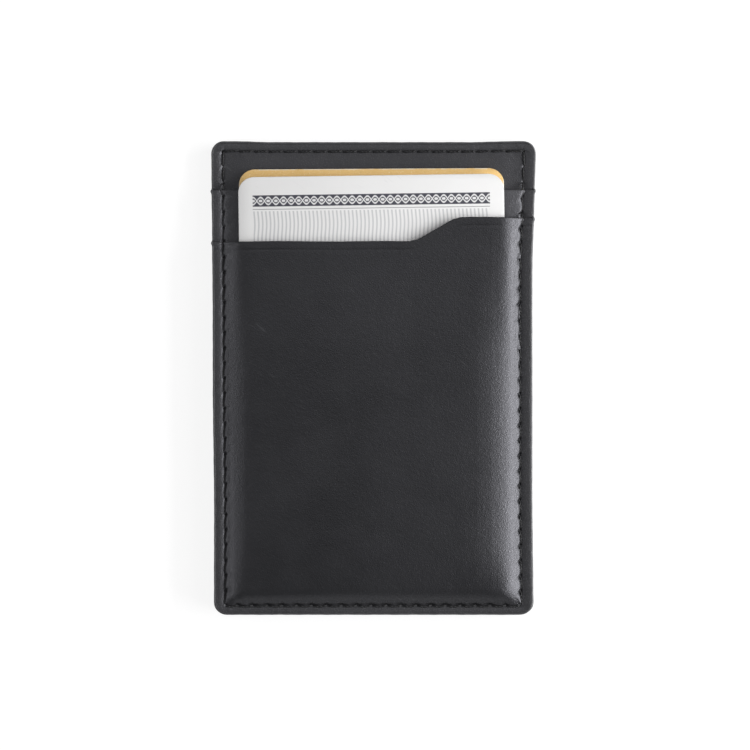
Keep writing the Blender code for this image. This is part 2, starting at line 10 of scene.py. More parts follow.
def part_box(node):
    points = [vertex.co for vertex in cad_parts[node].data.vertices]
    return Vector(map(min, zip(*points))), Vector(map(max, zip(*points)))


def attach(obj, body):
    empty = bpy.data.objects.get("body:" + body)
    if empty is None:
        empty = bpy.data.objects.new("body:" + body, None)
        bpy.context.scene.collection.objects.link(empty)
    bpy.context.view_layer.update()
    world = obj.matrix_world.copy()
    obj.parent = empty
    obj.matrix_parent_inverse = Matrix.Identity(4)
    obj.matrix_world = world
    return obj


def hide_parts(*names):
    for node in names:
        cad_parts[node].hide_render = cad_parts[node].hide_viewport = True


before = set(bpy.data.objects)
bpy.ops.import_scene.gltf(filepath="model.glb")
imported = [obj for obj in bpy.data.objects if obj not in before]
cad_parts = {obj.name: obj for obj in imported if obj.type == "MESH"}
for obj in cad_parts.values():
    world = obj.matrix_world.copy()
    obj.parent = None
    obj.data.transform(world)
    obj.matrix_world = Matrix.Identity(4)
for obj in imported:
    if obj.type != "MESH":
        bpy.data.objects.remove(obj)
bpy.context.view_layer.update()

# All shapes below are worked out in millimetres and brought to metres when a mesh is made
MM = 0.001

# Plan of the wallet, read from its painted edge
EDGE_LOW, EDGE_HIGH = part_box("edge_coat")
HALF_WIDTH = EDGE_HIGH.x / MM
HALF_LENGTH = EDGE_HIGH.y / MM
OUTLINE_CORNER = 2.60
LEATHER_INSET = 0.28
LEATHER_ROUND = 0.20
LINING_INSET = 0.34
LINING_ROUND = 0.06

# Heights on the rim, where every layer lies flat under the seam
REAR_BACK = EDGE_LOW.z / MM
REAR_FRONT = 1.95
FACING_BACK = 2.55
FACING_FRONT = 3.35
MIDDLE_FRONT = 4.45
FRONT_FRONT = EDGE_HIGH.z / MM

# Pocket panels: thickness, how far they climb over the cards, and how the front one bulges
MIDDLE_THICKNESS = 0.70
FRONT_THICKNESS = 0.80
MIDDLE_RISE = 0.86
FRONT_RISE = 1.72
FRONT_BULGE = 1.20
SKIVED = 0.42
SIDE_RUN = 4.30
FOOT_RUN = 3.6
LINING_GAP = 0.10
LINING_THICKNESS = 0.19

# Slope of a pocket in degrees at insets from its foot seam, and of the filled front pocket at
# insets from its left and right seams
FOOT_SLOPE = ((0.0, 0.4, 1.35, 1.9, 2.7, FOOT_RUN), (39.0, 39.0, 37.0, 24.0, 9.0, 0.0))
LEFT_SLOPE = (
    (0.0, 0.5, 2.2, 3.4, 4.4, 5.6, 7.2, 12.0, 20.0, 30.3),
    (22.0, 22.0, 21.5, 19.0, 14.0, 8.0, 4.2, 2.6, 1.6, 0.0),
)
RIGHT_SLOPE = (
    (0.0, 0.5, 1.9, 2.7, 4.3, 5.9, 7.2, 9.5, 13.0, 18.0, 30.3),
    (28.0, 28.0, 26.5, 22.5, 16.5, 11.5, 8.0, 3.2, 1.2, 0.4, 0.0),
)

# Pocket mouths
MIDDLE_MOUTH_Y = HALF_LENGTH - 9.80
FRONT_MOUTH_Y = HALF_LENGTH - 15.5
FRONT_MOUTH_LOW_Y = FRONT_MOUTH_Y - 4.90
STEP_START = 8.45
STEP_ANGLE = math.radians(30.0)
STEP_BLEND = 1.60
HEM_DEPTH = 6.0
HEM_FOLD = 0.30
MOUTH_ROUND = 0.42
MOUTH_BLEND = 34.0
CREASE_FROM_MOUTH = 1.72
CREASE_STEP = 0.015
CREASE_DEPTH = 0.045

# Lockstitched seam
SEAM_SIDE = 2.40
SEAM_END = 1.95
SIDE_STITCHES = 30
END_STITCHES = 20
SIDE_PITCH = 2 * (HALF_LENGTH - SEAM_END) / SIDE_STITCHES
END_PITCH = 2 * (HALF_WIDTH - SEAM_SIDE) / END_STITCHES
STITCH_SLANT = 0.8
THREAD_RADIUS = 0.20
THREAD_STEPS = 11
THREAD_BED = 0.07
THREAD_BED_HALF_WIDTH = 0.24
THREAD_BOW = 0.13
FOOT_BOW = 0.26
SIDE_LEAN = 0.55
SIDE_TURN, END_TURN = 0.26, 0.12
INTO_HOLE = 0.60
FLATNESS = 0.20
TURNS_PER_STITCH = 2.5
HOLE_DEPTH = 0.26
HOLE_RADIUS = 0.24
SIDE_DIP, FOOT_DIP, HEAD_DIP = 0.26, 0.19, 0.12
SIDE_DIP_OUTWARD, END_DIP_OUTWARD, FLAT_DIP_INWARD, LOBE_WALL = 0.80, 0.9, 2.6, 0.17
PUCKER = 0.05

# Scalloped line where a pocket starts to climb: depth of its scallops, and how early it starts
LEFT_LOBE, RIGHT_LOBE, FOOT_LOBE = (0.36, 0.27), (0.50, 0.16), (0.72, 0.20)

# How far each long edge stands out past the straight outline, from the foot to the head
LEFT_SWAY = (
    (-45.0, -24.8, -4.5, 15.9, 24.0, 32.2, 38.3, 46.4),
    (-0.41, -0.44, -0.17, -0.13, -0.05, 0.06, 0.16, 0.27),
)
RIGHT_SWAY = (
    (-45.2, -24.8, -4.5, 15.9, 24.0, 30.0, 36.2, 41.0, 46.4),
    (-0.04, -0.28, -0.26, -0.28, -0.24, 0.02, 0.34, 0.54, 0.74),
)
SWAY_FROM = 28.0
SWAY_FULL = 29.7
HEAD_LIFT = 0.20
NUB = 0.20
NUB_HALF_LENGTH = 0.42
RIGHT_BEAD = 0.16
LAYER_LINE = 0.035
LAP = 0.33

# Spans of close stations, each with its start, its end and its step, measured from an edge
RIM_SPANS = ((0.0, 0.36, 0.06), (0.36, 1.5, 0.27), (1.5, 3.3, 0.14), (3.3, 6.9, 0.4))
HIDDEN_SPANS = ((0.0, 0.36, 0.09), (0.36, 6.9, 0.65))
MOUTH_SPANS = ((0.0, 0.5, 0.07), (0.5, 1.3, 0.25), (1.3, 2.15, 0.1), (2.15, 6.6, 0.6))
HOLE_OFFSETS = (-0.085, -0.04, 0.0, 0.04, 0.085, 0.22, 0.5, 0.78)


# Shape of the leather


def smooth(value):
    held = np.clip(value, 0.0, 1.0)
    return held * held * (3 - 2 * held)


def bell(offset, half_width):
    return np.exp(-((offset / half_width) ** 2))


def fullness(share):
    """A rounded climb from 0 to 1 that is steepest where it starts."""
    return 1 - (1 - np.clip(share, 0.0, 1.0)) ** 2


def front_mouth(x):
    """Where the front pocket's mouth runs: low on the left, a step, high on the right."""
    rise = FRONT_MOUTH_Y - FRONT_MOUTH_LOW_Y
    end = STEP_START + rise / math.tan(STEP_ANGLE)
    xs, ys = [-60.0], [FRONT_MOUTH_LOW_Y]
    for corner_x, corner_y, turn_in, turn_out in (
        (STEP_START, FRONT_MOUTH_LOW_Y, 0.0, STEP_ANGLE),
        (end, FRONT_MOUTH_Y, STEP_ANGLE, 0.0),
    ):
        for share in np.linspace(0, 1, 9):
            before, after = STEP_BLEND * (1 - share) ** 2, STEP_BLEND * share**2
            xs.append(corner_x - before * math.cos(turn_in) + after * math.cos(turn_out))
            ys.append(corner_y - before * math.sin(turn_in) + after * math.sin(turn_out))
    wave = 0.05 * np.sin(x * 0.31 + 1.0)
    return np.interp(x, xs + [60.0], ys + [FRONT_MOUTH_Y]) + wave


def middle_mouth(x):
    return MIDDLE_MOUTH_Y + 0.04 * np.sin(x * 0.23)


def below_mouth(mouth, x, y):
    """Distance from a point down to a mouth line, measured square to that line."""
    step = 0.05
    slope = (mouth(x + step) - mouth(x - step)) / (2 * step)
    return (mouth(x) - y) / np.sqrt(1 + slope * slope)


def seam_insets(x, y):
    """Distances inward from the seam's side, foot and head lines."""
    side = HALF_WIDTH - SEAM_SIDE - np.abs(x)
    return side, y + HALF_LENGTH - SEAM_END, HALF_LENGTH - SEAM_END - y


def seam_steps(x, y):
    """Distances along the side, foot and head seams, slanted as a leather needle slants its holes."""
    side, foot, head = seam_insets(x, y)
    across = x + HALF_WIDTH - SEAM_SIDE
    return (
        (foot + np.sign(x) * STITCH_SLANT * side) / SIDE_PITCH,
        (across + STITCH_SLANT * foot) / END_PITCH,
        (across - STITCH_SLANT * head) / END_PITCH,
    )


def arch(steps, lean=1.0, power=0.6):
    """Rounded arches from hole to hole: 0 at the holes, 1 between them, leaning to the lower hole."""
    return np.sin(math.pi * np.mod(steps, 1.0) ** lean) ** power


def within(inset):
    """0 outside a seam line and 1 inside it, with a border half a millimetre wide."""
    return smooth(inset / 0.5 + 0.5)


def seam_marks(inset, steps, pitch, bow=0.0):
    """The thread's bed, the needle holes, and the folds that stand up between two stitches."""
    along = np.abs(np.mod(steps + 0.5, 1.0) - 0.5) * pitch
    bed = THREAD_BED * bell(inset + bow * arch(steps), THREAD_BED_HALF_WIDTH) * arch(steps)
    hole = HOLE_DEPTH * bell(np.hypot(inset, along), HOLE_RADIUS)
    fold = PUCKER * bell(along, 0.42) * bell(np.abs(inset) - 0.75, 0.42)
    return bed + hole - fold


def seam_dip(x, y):
    """How far the seam pulls flat leather in. Its groove rises to the rim, and barely inwards."""
    side, foot, head = seam_insets(x, y)
    side_steps, foot_steps, head_steps = seam_steps(x, y)
    ends, sides = within(foot) * within(head), within(side)
    dip = 0
    for inset, steps, pitch, depth, outward, share in (
        (side, side_steps, SIDE_PITCH, SIDE_DIP, SIDE_DIP_OUTWARD, ends),
        (foot, foot_steps, END_PITCH, FOOT_DIP, END_DIP_OUTWARD, sides),
        (head, head_steps, END_PITCH, HEAD_DIP, END_DIP_OUTWARD, sides),
    ):
        groove = depth * bell(inset, np.where(inset < 0, outward, FLAT_DIP_INWARD))
        dip = dip + (groove + seam_marks(inset, steps, pitch)) * share
    return dip


def lobe_insets(x, y):
    """Insets from the scalloped line where a pocket starts to climb, later at each needle hole."""
    side, foot, _ = seam_insets(x, y)
    side_steps, foot_steps, _ = seam_steps(x, y)
    swing, early = (np.where(x < 0, left, right) for left, right in zip(LEFT_LOBE, RIGHT_LOBE))
    late = swing * (1 - arch(side_steps, SIDE_LEAN, 0.9)) - early
    side = side - late * bell(np.clip(side, 0, None), 1.1)
    late = FOOT_LOBE[0] * (1 - arch(foot_steps)) - FOOT_LOBE[1]
    return side, foot - late * bell(np.clip(foot, 0, None), 1.3)


def pocket_dip(x, y):
    """How far the seam pulls a pocket panel in: on the rim, and at the foot of its slope."""
    side, foot, _ = seam_insets(x, y)
    side_steps, foot_steps, _ = seam_steps(x, y)
    outside = np.hypot(np.clip(-side, 0, None), np.clip(-foot, 0, None))
    at_foot = smooth((1.8 - foot) / 1.5)
    half_width = SIDE_DIP_OUTWARD + (END_DIP_OUTWARD - SIDE_DIP_OUTWARD) * at_foot
    inside = bell(np.clip(np.minimum(*lobe_insets(x, y)), 0, None), LOBE_WALL)
    trough = (SIDE_DIP + (FOOT_DIP - SIDE_DIP) * at_foot) * bell(outside, half_width) * inside
    marks = seam_marks(side, side_steps, SIDE_PITCH, THREAD_BOW) * within(foot)
    return trough + marks + seam_marks(foot, foot_steps, END_PITCH, FOOT_BOW) * within(side)


def slope_heights(table):
    insets = np.linspace(0, table[0][-1], 400)
    slopes = np.tan(np.radians(np.interp(insets, *table)))
    steps = (slopes[1:] + slopes[:-1]) / 2 * np.diff(insets)
    return insets, np.concatenate([[0.0], np.cumsum(steps)])


def foot_climb(foot):
    """Share of its rise that a panel has reached at a distance from its foot seam."""
    insets, heights = slope_heights(FOOT_SLOPE)
    return np.interp(foot, insets, heights / heights[-1])


def filled_height(inset, is_right):
    """Height of the full pocket above its rim at an inset from the side seam."""
    top = FRONT_RISE + FRONT_BULGE
    sides = []
    for table in (LEFT_SLOPE, RIGHT_SLOPE):
        insets, heights = slope_heights(table)
        levelled = heights + (top - heights[-1]) * smooth((insets - 6.0) / 24.3)
        sides.append(np.interp(inset, insets, levelled))
    return np.where(is_right, sides[1], sides[0])


def pillow_share(y):
    """How far the front pocket is blown up: most in the middle, little at its mouth."""
    foot = y + HALF_LENGTH - SEAM_END
    return fullness((foot - 1.2) / 13.0) * (1 - 0.70 * smooth((y + 4.0) / 37.0))


def unevenness(x, y, size, seed):
    """Soft irregularity of a hide, from -1 to 1."""
    flat = np.column_stack([x.ravel() / size, y.ravel() / size])
    values = [noise.noise(Vector((u, v, seed))) for u, v in flat.tolist()]
    return np.array(values).reshape(x.shape)


@dataclass
class Pocket:
    """The two layers of one pocket and the heights that they share."""

    name: str
    rim: float
    rise: float
    thickness: float
    mouth: object
    seed: float
    is_front: bool

    def height(self, x, y, side, foot):
        """Height at a point, for its insets from the lines where the panel starts to climb."""
        side = np.clip(side, 0, None)
        height = self.rise * fullness(side / SIDE_RUN)
        if self.is_front:
            height = height + pillow_share(y) * (filled_height(side, x > 0) - height)
        return self.rim + height * foot_climb(foot)

    def smooth_front(self, x, y):
        return self.height(x, y, *seam_insets(x, y)[:2])

    def front(self, x, y):
        """The outer face, with its puckers, its needle holes and the hide's own unevenness."""
        side, foot, _ = seam_insets(x, y)
        height = self.height(x, y, *lobe_insets(x, y)) - pocket_dip(x, y)
        if not self.is_front:
            plain = self.smooth_front(x, y)
            height = plain + (height - plain) * smooth(y - front_mouth(x) + 0.9)
        climb = fullness(side / SIDE_RUN) * foot_climb(foot)
        height = height + 0.035 * (0.25 + 0.75 * climb) * unevenness(x, y, 9.0, self.seed)
        height = height + 0.010 * unevenness(x, y, 2.1, self.seed + 5.0)
        near_seam = bell(np.minimum(side, foot) - 0.6, 0.8)
        height = height + 0.018 * near_seam * unevenness(x, y, 0.75, self.seed + 9.0)
        return height - mouth_crease(x, y) if self.is_front else height

    def pressed(self, x, y):
        """How much thinner the layers are where they bend over the edge of a card."""
        side, foot, _ = seam_insets(x, y)
        over_side = smooth(side) * (1 - smooth((side - 4.2) / 2.0))
        over_foot = smooth(foot / 0.8) * (1 - smooth((foot - 2.7) / 2.0))
        return (1 - (1 - over_side) * (1 - over_foot)) * smooth(np.minimum(side, foot))

    def inner(self, x, y):
        return self.smooth_front(x, y) - self.thickness + SKIVED * self.pressed(x, y)

    def back(self, x, y):
        """The inner face of the leather, lower where its edge is turned in along the mouth."""
        depth = below_mouth(self.mouth, x, y)
        return self.inner(x, y) - HEM_FOLD * smooth((HEM_DEPTH - depth) / 0.35)

    def lining_front(self, x, y):
        return self.inner(x, y) - LINING_GAP + 0.06 * self.pressed(x, y)

    def lining_back(self, x, y):
        return self.lining_front(x, y) - LINING_THICKNESS + 0.04 * self.pressed(x, y)


def mouth_crease(x, y):
    """The turned edge stands a little above the panel below it, with a creased line between them."""
    depth = below_mouth(front_mouth, x, y)
    step = smooth((depth - CREASE_FROM_MOUTH) / 0.40 + 0.5) * (1 - smooth((depth - 2.4) / 5.0))
    return CREASE_STEP * step + CREASE_DEPTH * bell(depth - CREASE_FROM_MOUTH, 0.24)


def facing_front(x, y):
    open_part = smooth(y - middle_mouth(x) + 0.9)
    to_head = np.clip(HALF_LENGTH - LEATHER_INSET - y, 0, 1.1)
    height = FACING_FRONT - seam_dip(x, y) * open_part - 0.13 * (1 - to_head / 1.1) ** 2
    return height + 0.012 * unevenness(x, y, 2.4, 31.0) + 0.02 * unevenness(x, y, 8.0, 37.0)


def rear_back(x, y):
    return REAR_BACK + seam_dip(x, y) + 0.012 * unevenness(x, y, 2.4, 41.0)


def level(height):
    """A face at one height."""

    def face(x, y):
        return np.full_like(x, height)

    return face


def edge_height(x, y):
    """Height of the outermost layer at a point of the rim, stepping down at each mouth."""
    past_front = smooth((y - front_mouth(x) - 0.12) / 0.30 + 0.5)
    past_middle = smooth((y - middle_mouth(x) - 0.12) / 0.30 + 0.5)
    height = FRONT_FRONT - (FRONT_FRONT - MIDDLE_FRONT) * past_front
    return height - (MIDDLE_FRONT - FACING_FRONT) * past_middle


def sway(x, y, mouths=(), standing=1.0):
    """Moves a point of the rim to where the real wallet's edges run, with a nub at each mouth.

    The long edges wander, and the head's corners stand up past its middle. The nubs are as large
    as standing says.
    """
    left = np.interp(y, *LEFT_SWAY)
    right = np.interp(y, *RIGHT_SWAY)
    for mouth in mouths:
        left = left + standing * NUB * bell(y - mouth(-HALF_WIDTH) + 0.3, NUB_HALF_LENGTH)
        right = right + standing * NUB * bell(y - mouth(HALF_WIDTH) + 0.3, NUB_HALF_LENGTH)
    share = smooth((np.abs(x) - SWAY_FROM) / (SWAY_FULL - SWAY_FROM))
    lift = HEAD_LIFT * smooth((np.abs(x) - 20.0) / 9.0) * smooth((y - HALF_LENGTH + 3.5) / 3.0)
    return x + share * np.where(x < 0, -left, right), y + lift


# Meshes


def linked(name, data):
    made = bpy.data.objects.new(name, data)
    bpy.context.scene.collection.objects.link(made)
    return made


def new_object(name, mesh, finish):
    mesh.materials.clear()
    mesh.materials.append(finish)
    return linked(name, mesh)


def mesh_from(name, bm):
    mesh = bpy.data.meshes.new(name)
    bm.to_mesh(mesh)
    bm.free()
    return mesh


def shell(name, points, faces, finish):
    """A closed smooth mesh from points in millimetres, with its faces turned outwards."""
    mesh = bpy.data.meshes.new(name)
    mesh.from_pydata((points * MM).tolist(), [], faces.tolist())
    bm = bmesh.new()
    bm.from_mesh(mesh)
    bmesh.ops.remove_doubles(bm, verts=bm.verts, dist=1e-7)
    bmesh.ops.recalc_face_normals(bm, faces=bm.faces)
    bm.to_mesh(mesh)
    bm.free()
    mesh.polygons.foreach_set("use_smooth", [True] * len(mesh.polygons))
    return new_object(name, mesh, finish)


def thinned(places, gap, end):
    """The places in order up to the end, without those too near the one before."""
    kept = []
    for place in sorted(places):
        if not kept or place - kept[-1] > gap:
            kept.append(place)
    kept[-1] = end
    return np.array(kept)


def stations(length, near_start, near_end, middle):
    """Distances from 0 to length, close together in the spans near both ends."""
    places = []
    for start, end, step in near_start:
        places += list(np.arange(start, end, step))
    for start, end, step in near_end:
        places += [length - place for place in np.arange(start, end, step)]
    low = near_start[-1][1]
    high = length - near_end[-1][1]
    places += list(np.linspace(low, high, max(2, round((high - low) / middle) + 1)))
    return thinned(places, 0.02, length)


def between_holes(places, first, pitch, holes, offsets):
    """Adds stations at the same offsets after each of some needle holes."""
    added = [first + pitch * (hole + offset) for hole in holes for offset in offsets]
    low, high = places[0], places[-1]
    return thinned(list(places) + [place for place in added if low < place < high], 0.055, high)


def hole_columns(offsets):
    places = stations(2 * (HALF_WIDTH - LEATHER_INSET), RIM_SPANS, RIM_SPANS, 1.5)
    return between_holes(places, SEAM_SIDE - LEATHER_INSET, END_PITCH, range(-1, END_STITCHES), offsets)


def hole_rows(places, first, offsets=HOLE_OFFSETS):
    """Stations up a panel, with more at the holes of the side seams from the first one up."""
    holes = range(first, SIDE_STITCHES + 1)
    return between_holes(places, SEAM_END - LEATHER_INSET, SIDE_PITCH, holes, offsets)


def eased(distance, radius):
    """How far a rounded edge falls away at a distance from it."""
    inward = np.clip(radius - distance, 0, radius)
    return radius - np.sqrt(radius * radius - inward * inward)


def panel(name, front, back, finish, inset, edge_round, columns, rows, mouth=None, drop=0.0):
    """A layer of the wallet as one closed shell, rounded at its edges.

    Without a mouth it covers the whole outline. With one it ends there, or at the drop below it,
    and its mouth edge is rounded like a folded one.
    """
    half_width, half_length, corner = HALF_WIDTH - inset, HALF_LENGTH - inset, OUTLINE_CORNER - inset
    along = rows - half_length

    def arc(distance):
        inward = np.clip(corner - distance, 0, corner)
        return half_width - corner + np.sqrt(corner * corner - inward * inward)

    reach = arc(along + half_length)
    if mouth is None:
        reach = np.minimum(reach, arc(half_length - along))
    x = (columns - half_width)[None, :] * (reach / half_width)[:, None]
    y = np.repeat(along[:, None], len(columns), axis=1)
    if mouth is not None:
        top_y = mouth(-HALF_WIDTH) - drop
        y = y + (mouth(x) - drop - top_y) * smooth((y - top_y) / MOUTH_BLEND + 1.0)
    corner_x = np.abs(x) - (half_width - corner)
    corner_y = (np.abs(y) if mouth is None else -y) - (half_length - corner)
    outside = np.hypot(np.clip(corner_x, 0, None), np.clip(corner_y, 0, None))
    from_edge = corner - outside - np.minimum(np.maximum(corner_x, corner_y), 0)
    fall = eased(np.clip(from_edge, 0, None), edge_round)
    front_z, back_z = front(x, y) - fall, back(x, y) + fall
    if mouth is not None:
        depth = np.clip(below_mouth(mouth, x, y + drop), 0, None)
        depth[-1, :] = 0
        front_round = min(MOUTH_ROUND, 0.4 * float(np.min(front_z[-1] - back_z[-1])))
        front_z = front_z - eased(depth, front_round)
        back_z = back_z + eased(depth, 0.7 * front_round)
    x, y = sway(x, y, () if mouth is None or drop else (mouth,))
    points = [np.column_stack([x.ravel(), y.ravel(), z.ravel()]) for z in (front_z, back_z)]
    index = np.arange(x.size).reshape(x.shape)
    corners = (index[:-1, :-1], index[:-1, 1:], index[1:, 1:], index[1:, :-1])
    quads = np.column_stack([part.ravel() for part in corners])
    ring = np.concatenate([index[0, :-1], index[:-1, -1], index[-1, :0:-1], index[:0:-1, 0]])
    after = np.roll(ring, -1)
    wall = np.column_stack([ring, ring + x.size, after + x.size, after])
    faces = np.concatenate([quads, quads[:, ::-1] + x.size, wall])
    return shell(name, np.concatenate(points), faces, finish)


def rounded_corners(left, right, low, high, radius, steps):
    """Arcs round the four centres, anticlockwise from the foot's right, with outward directions."""
    arcs = []
    for x, y, start in (
        (right, low, -0.5 * math.pi),
        (right, high, 0.0),
        (left, high, 0.5 * math.pi),
        (left, low, math.pi),
    ):
        turns = [start + 0.5 * math.pi * step / steps for step in range(steps + 1)]
        ways = [(math.cos(turn), math.sin(turn)) for turn in turns]
        arcs.append([(x + radius * c, y + radius * s, c, s) for c, s in ways])
    return arcs


def outline_points():
    """Points on the straight outline with their outward directions, anticlockwise from the foot."""
    inner_x, inner_y = HALF_WIDTH - OUTLINE_CORNER, HALF_LENGTH - OUTLINE_CORNER
    side = list(np.arange(-inner_y, inner_y, 0.5))
    for mouth_y in (MIDDLE_MOUTH_Y, FRONT_MOUTH_Y, FRONT_MOUTH_LOW_Y):
        side += list(np.arange(mouth_y - 1.2, mouth_y + 0.7, 0.08))
    side = sorted(side)
    arcs = rounded_corners(-inner_x, inner_x, -inner_y, inner_y, OUTLINE_CORNER, 9)
    spots = [(x, -HALF_LENGTH, 0.0, -1.0) for x in np.arange(-inner_x, inner_x, 0.6)] + arcs[0]
    spots += [(HALF_WIDTH, y, 1.0, 0.0) for y in side[1:]] + arcs[1]
    spots += [(x, HALF_LENGTH, 0.0, 1.0) for x in np.arange(inner_x, -inner_x, -0.6)[1:]] + arcs[2]
    spots += [(-HALF_WIDTH, y, -1.0, 0.0) for y in side[:0:-1]] + arcs[3][:-1]
    return np.array(spots)


# Insets and heights of the paint's lap on the back, and of its lap on the front with its hidden
# return
BACK_LAP = ((0.66, 0.02), (0.60, -0.03), (0.36, -0.02), (0.18, 0.05), (0.06, 0.17), (0.01, 0.34))
FRONT_LAP = (
    (0.01, -0.34), (0.035, -0.20), (0.09, -0.09), (0.16, -0.03), (0.24, 0.0), (0.33, 0.012),
    (0.40, 0.0), (0.34, -0.26), (0.26, -0.45),
)


def painted_edge(finish):
    """The film of paint round the cut edges, lapped a little onto the front and the back."""
    x, y, out_x, out_y = outline_points().T
    height = edge_height(x, y)
    layers = (REAR_FRONT + 0.05, FACING_BACK - 0.05, FACING_FRONT + 0.15, MIDDLE_FRONT + 0.15)
    rings = [(inset, REAR_BACK + z) for inset, z in BACK_LAP]
    wall_low = REAR_BACK + 0.46
    for share in np.linspace(0, 1, 26):
        z = wall_low + (height - 0.52 - wall_low) * share
        rings.append((sum(LAYER_LINE * bell(z - layer, 0.06) for layer in layers), z))
    rings += [(inset, height + z) for inset, z in FRONT_LAP]
    rings += [(0.26, REAR_BACK + 0.40), (0.34, REAR_BACK + 0.14)]
    points = []
    along = np.concatenate([[0.0], np.cumsum(np.hypot(np.diff(x), np.diff(y)))])
    bead = RIGHT_BEAD * smooth((out_x - 0.6) / 0.4) * smooth((HALF_LENGTH - 3.0 - y) / 24.0)
    for inset, z in rings:
        z = np.broadcast_to(z, x.shape)
        ripple = 0.012 * np.sin(along * 0.9 + z * 2.0) + 0.010 * np.sin(along * 2.3 + 1.0)
        depth = inset + ripple - bead * (1 - smooth(inset / LAP))
        standing = smooth((z - REAR_FRONT) / (FACING_FRONT - REAR_FRONT))
        ring = sway(x - out_x * depth, y - out_y * depth, (front_mouth, middle_mouth), standing)
        points.append(np.column_stack([*ring, z]))
    index = np.arange(len(rings) * len(x)).reshape(len(rings), len(x))
    above = np.roll(index, -1, axis=0)
    corners = (index, np.roll(index, -1, axis=1), np.roll(above, -1, axis=1), above)
    return shell("painted_edge", np.concatenate(points), np.stack(corners, -1).reshape(-1, 4), finish)


# Node trees


class Tree:
    """A node tree that is being built. Sockets and plain values are wired in the same way."""

    def __init__(self, tree, place=None):
        self.tree = tree
        self.place = place

    def wire(self, socket, value):
        if isinstance(value, bpy.types.NodeSocket):
            self.tree.links.new(value, socket)
        elif socket.type == "RGBA":
            socket.default_value = (*value, 1.0)
        else:
            socket.default_value = value

    def add(self, kind, given=(), **settings):
        """A new node, with its inputs given in their order or by name. Returns its outputs."""
        made = self.tree.nodes.new(kind)
        for key, value in settings.items():
            setattr(made, key, value)
        for key, value in given.items() if isinstance(given, dict) else enumerate(given):
            self.wire(made.inputs[key], value)
        return made.outputs

    def maths(self, operation, *given):
        return self.add("ShaderNodeMath", given, operation=operation)[0]

    def times(self, first, second):
        return self.maths("MULTIPLY", first, second)

    def fused(self, value, factor, more):
        return self.maths("MULTIPLY_ADD", value, factor, more)

    def scaled(self, scale, place=None):
        given = (place or self.place, scale)
        return self.add("ShaderNodeVectorMath", given, operation="MULTIPLY")[0]

    def split(self):
        return self.add("ShaderNodeSeparateXYZ", (self.place,))

    def ranged(self, value, low, high, new_low=0.0, new_high=1.0, kind="SMOOTHSTEP"):
        given = (value, low, high, new_low, new_high)
        return self.add("ShaderNodeMapRange", given, interpolation_type=kind)[0]

    def linear(self, value, low, high, new_low=1.0, new_high=0.0):
        return self.ranged(value, low, high, new_low, new_high, "LINEAR")

    def mixed(self, share, first, second):
        """A colour from two: the first at a share of 0, the second at 1."""
        return self.add("ShaderNodeMix", {0: share, 6: first, 7: second}, data_type="RGBA")[2]

    def noise(self, scale, detail=2.0, roughness=0.5, distortion=0.0, place=None):
        """Cloudy noise at the tree's place or another one, from 0 to 1."""
        given = {"Vector": place or self.place, "Scale": scale, "Detail": detail}
        given.update({"Roughness": roughness, "Distortion": distortion})
        return self.add("ShaderNodeTexNoise", given)["Fac"]

    def waves(self, value, pitch):
        return self.maths("SINE", self.times(value, 2 * math.pi / pitch))

    def stepped(self, value, low, high, soft=0.03):
        """1 where a value lies between two lines, with a soft border."""
        rise = self.linear(value, low - soft, low + soft, 0.0, 1.0)
        return self.times(rise, self.linear(value, high - soft, high + soft))

    def boxed(self, x, y, left, right, low, high):
        return self.times(self.stepped(x, left, right), self.stepped(y, low, high))


FLOAT, VECTOR = "NodeSocketFloat", "NodeSocketVector"


def group(name, kind, inputs, outputs):
    """A shared tree that follows its first input, the sockets that feed it, and those it fills."""
    tree = bpy.data.node_groups.new(name, kind)
    for label, socket_type, value in inputs:
        socket = tree.interface.new_socket(label, in_out="INPUT", socket_type=socket_type)
        if value is not None:
            socket.default_value = value
    for label, socket_type in outputs:
        tree.interface.new_socket(label, in_out="OUTPUT", socket_type=socket_type)
    source, sink = tree.nodes.new("NodeGroupInput"), tree.nodes.new("NodeGroupOutput")
    return Tree(tree, source.outputs[0]), source.outputs, sink.inputs


# Seam


def cross(first, second, third):
    along = (second[0] - first[0]) * (third[1] - first[1])
    return along - (second[1] - first[1]) * (third[0] - first[0])


def taut(distances, heights):
    """Heights of a thread stretched over a profile: its upper hull."""
    hull = []
    for spot in zip(distances, heights):
        while len(hull) > 1 and cross(hull[-2], hull[-1], spot) >= 0:
            hull.pop()
        hull.append(spot)
    return np.interp(distances, [u for u, _ in hull], [v for _, v in hull])


def stitch_lines():
    """Start and end of every stitch on the straight seam, anticlockwise from the foot's left end."""
    right, high = HALF_WIDTH - SEAM_SIDE, HALF_LENGTH - SEAM_END
    corners = [np.array(spot) for spot in ((-right, -high), (right, -high), (right, high), (-right, high))]
    counts = (END_STITCHES, SIDE_STITCHES, END_STITCHES, SIDE_STITCHES)
    lines = []
    for start, end, count in zip(corners, corners[1:] + corners[:1], counts):
        spots = [start + (end - start) * stitch / count for stitch in range(count + 1)]
        lines += list(zip(spots, spots[1:]))
    return lines


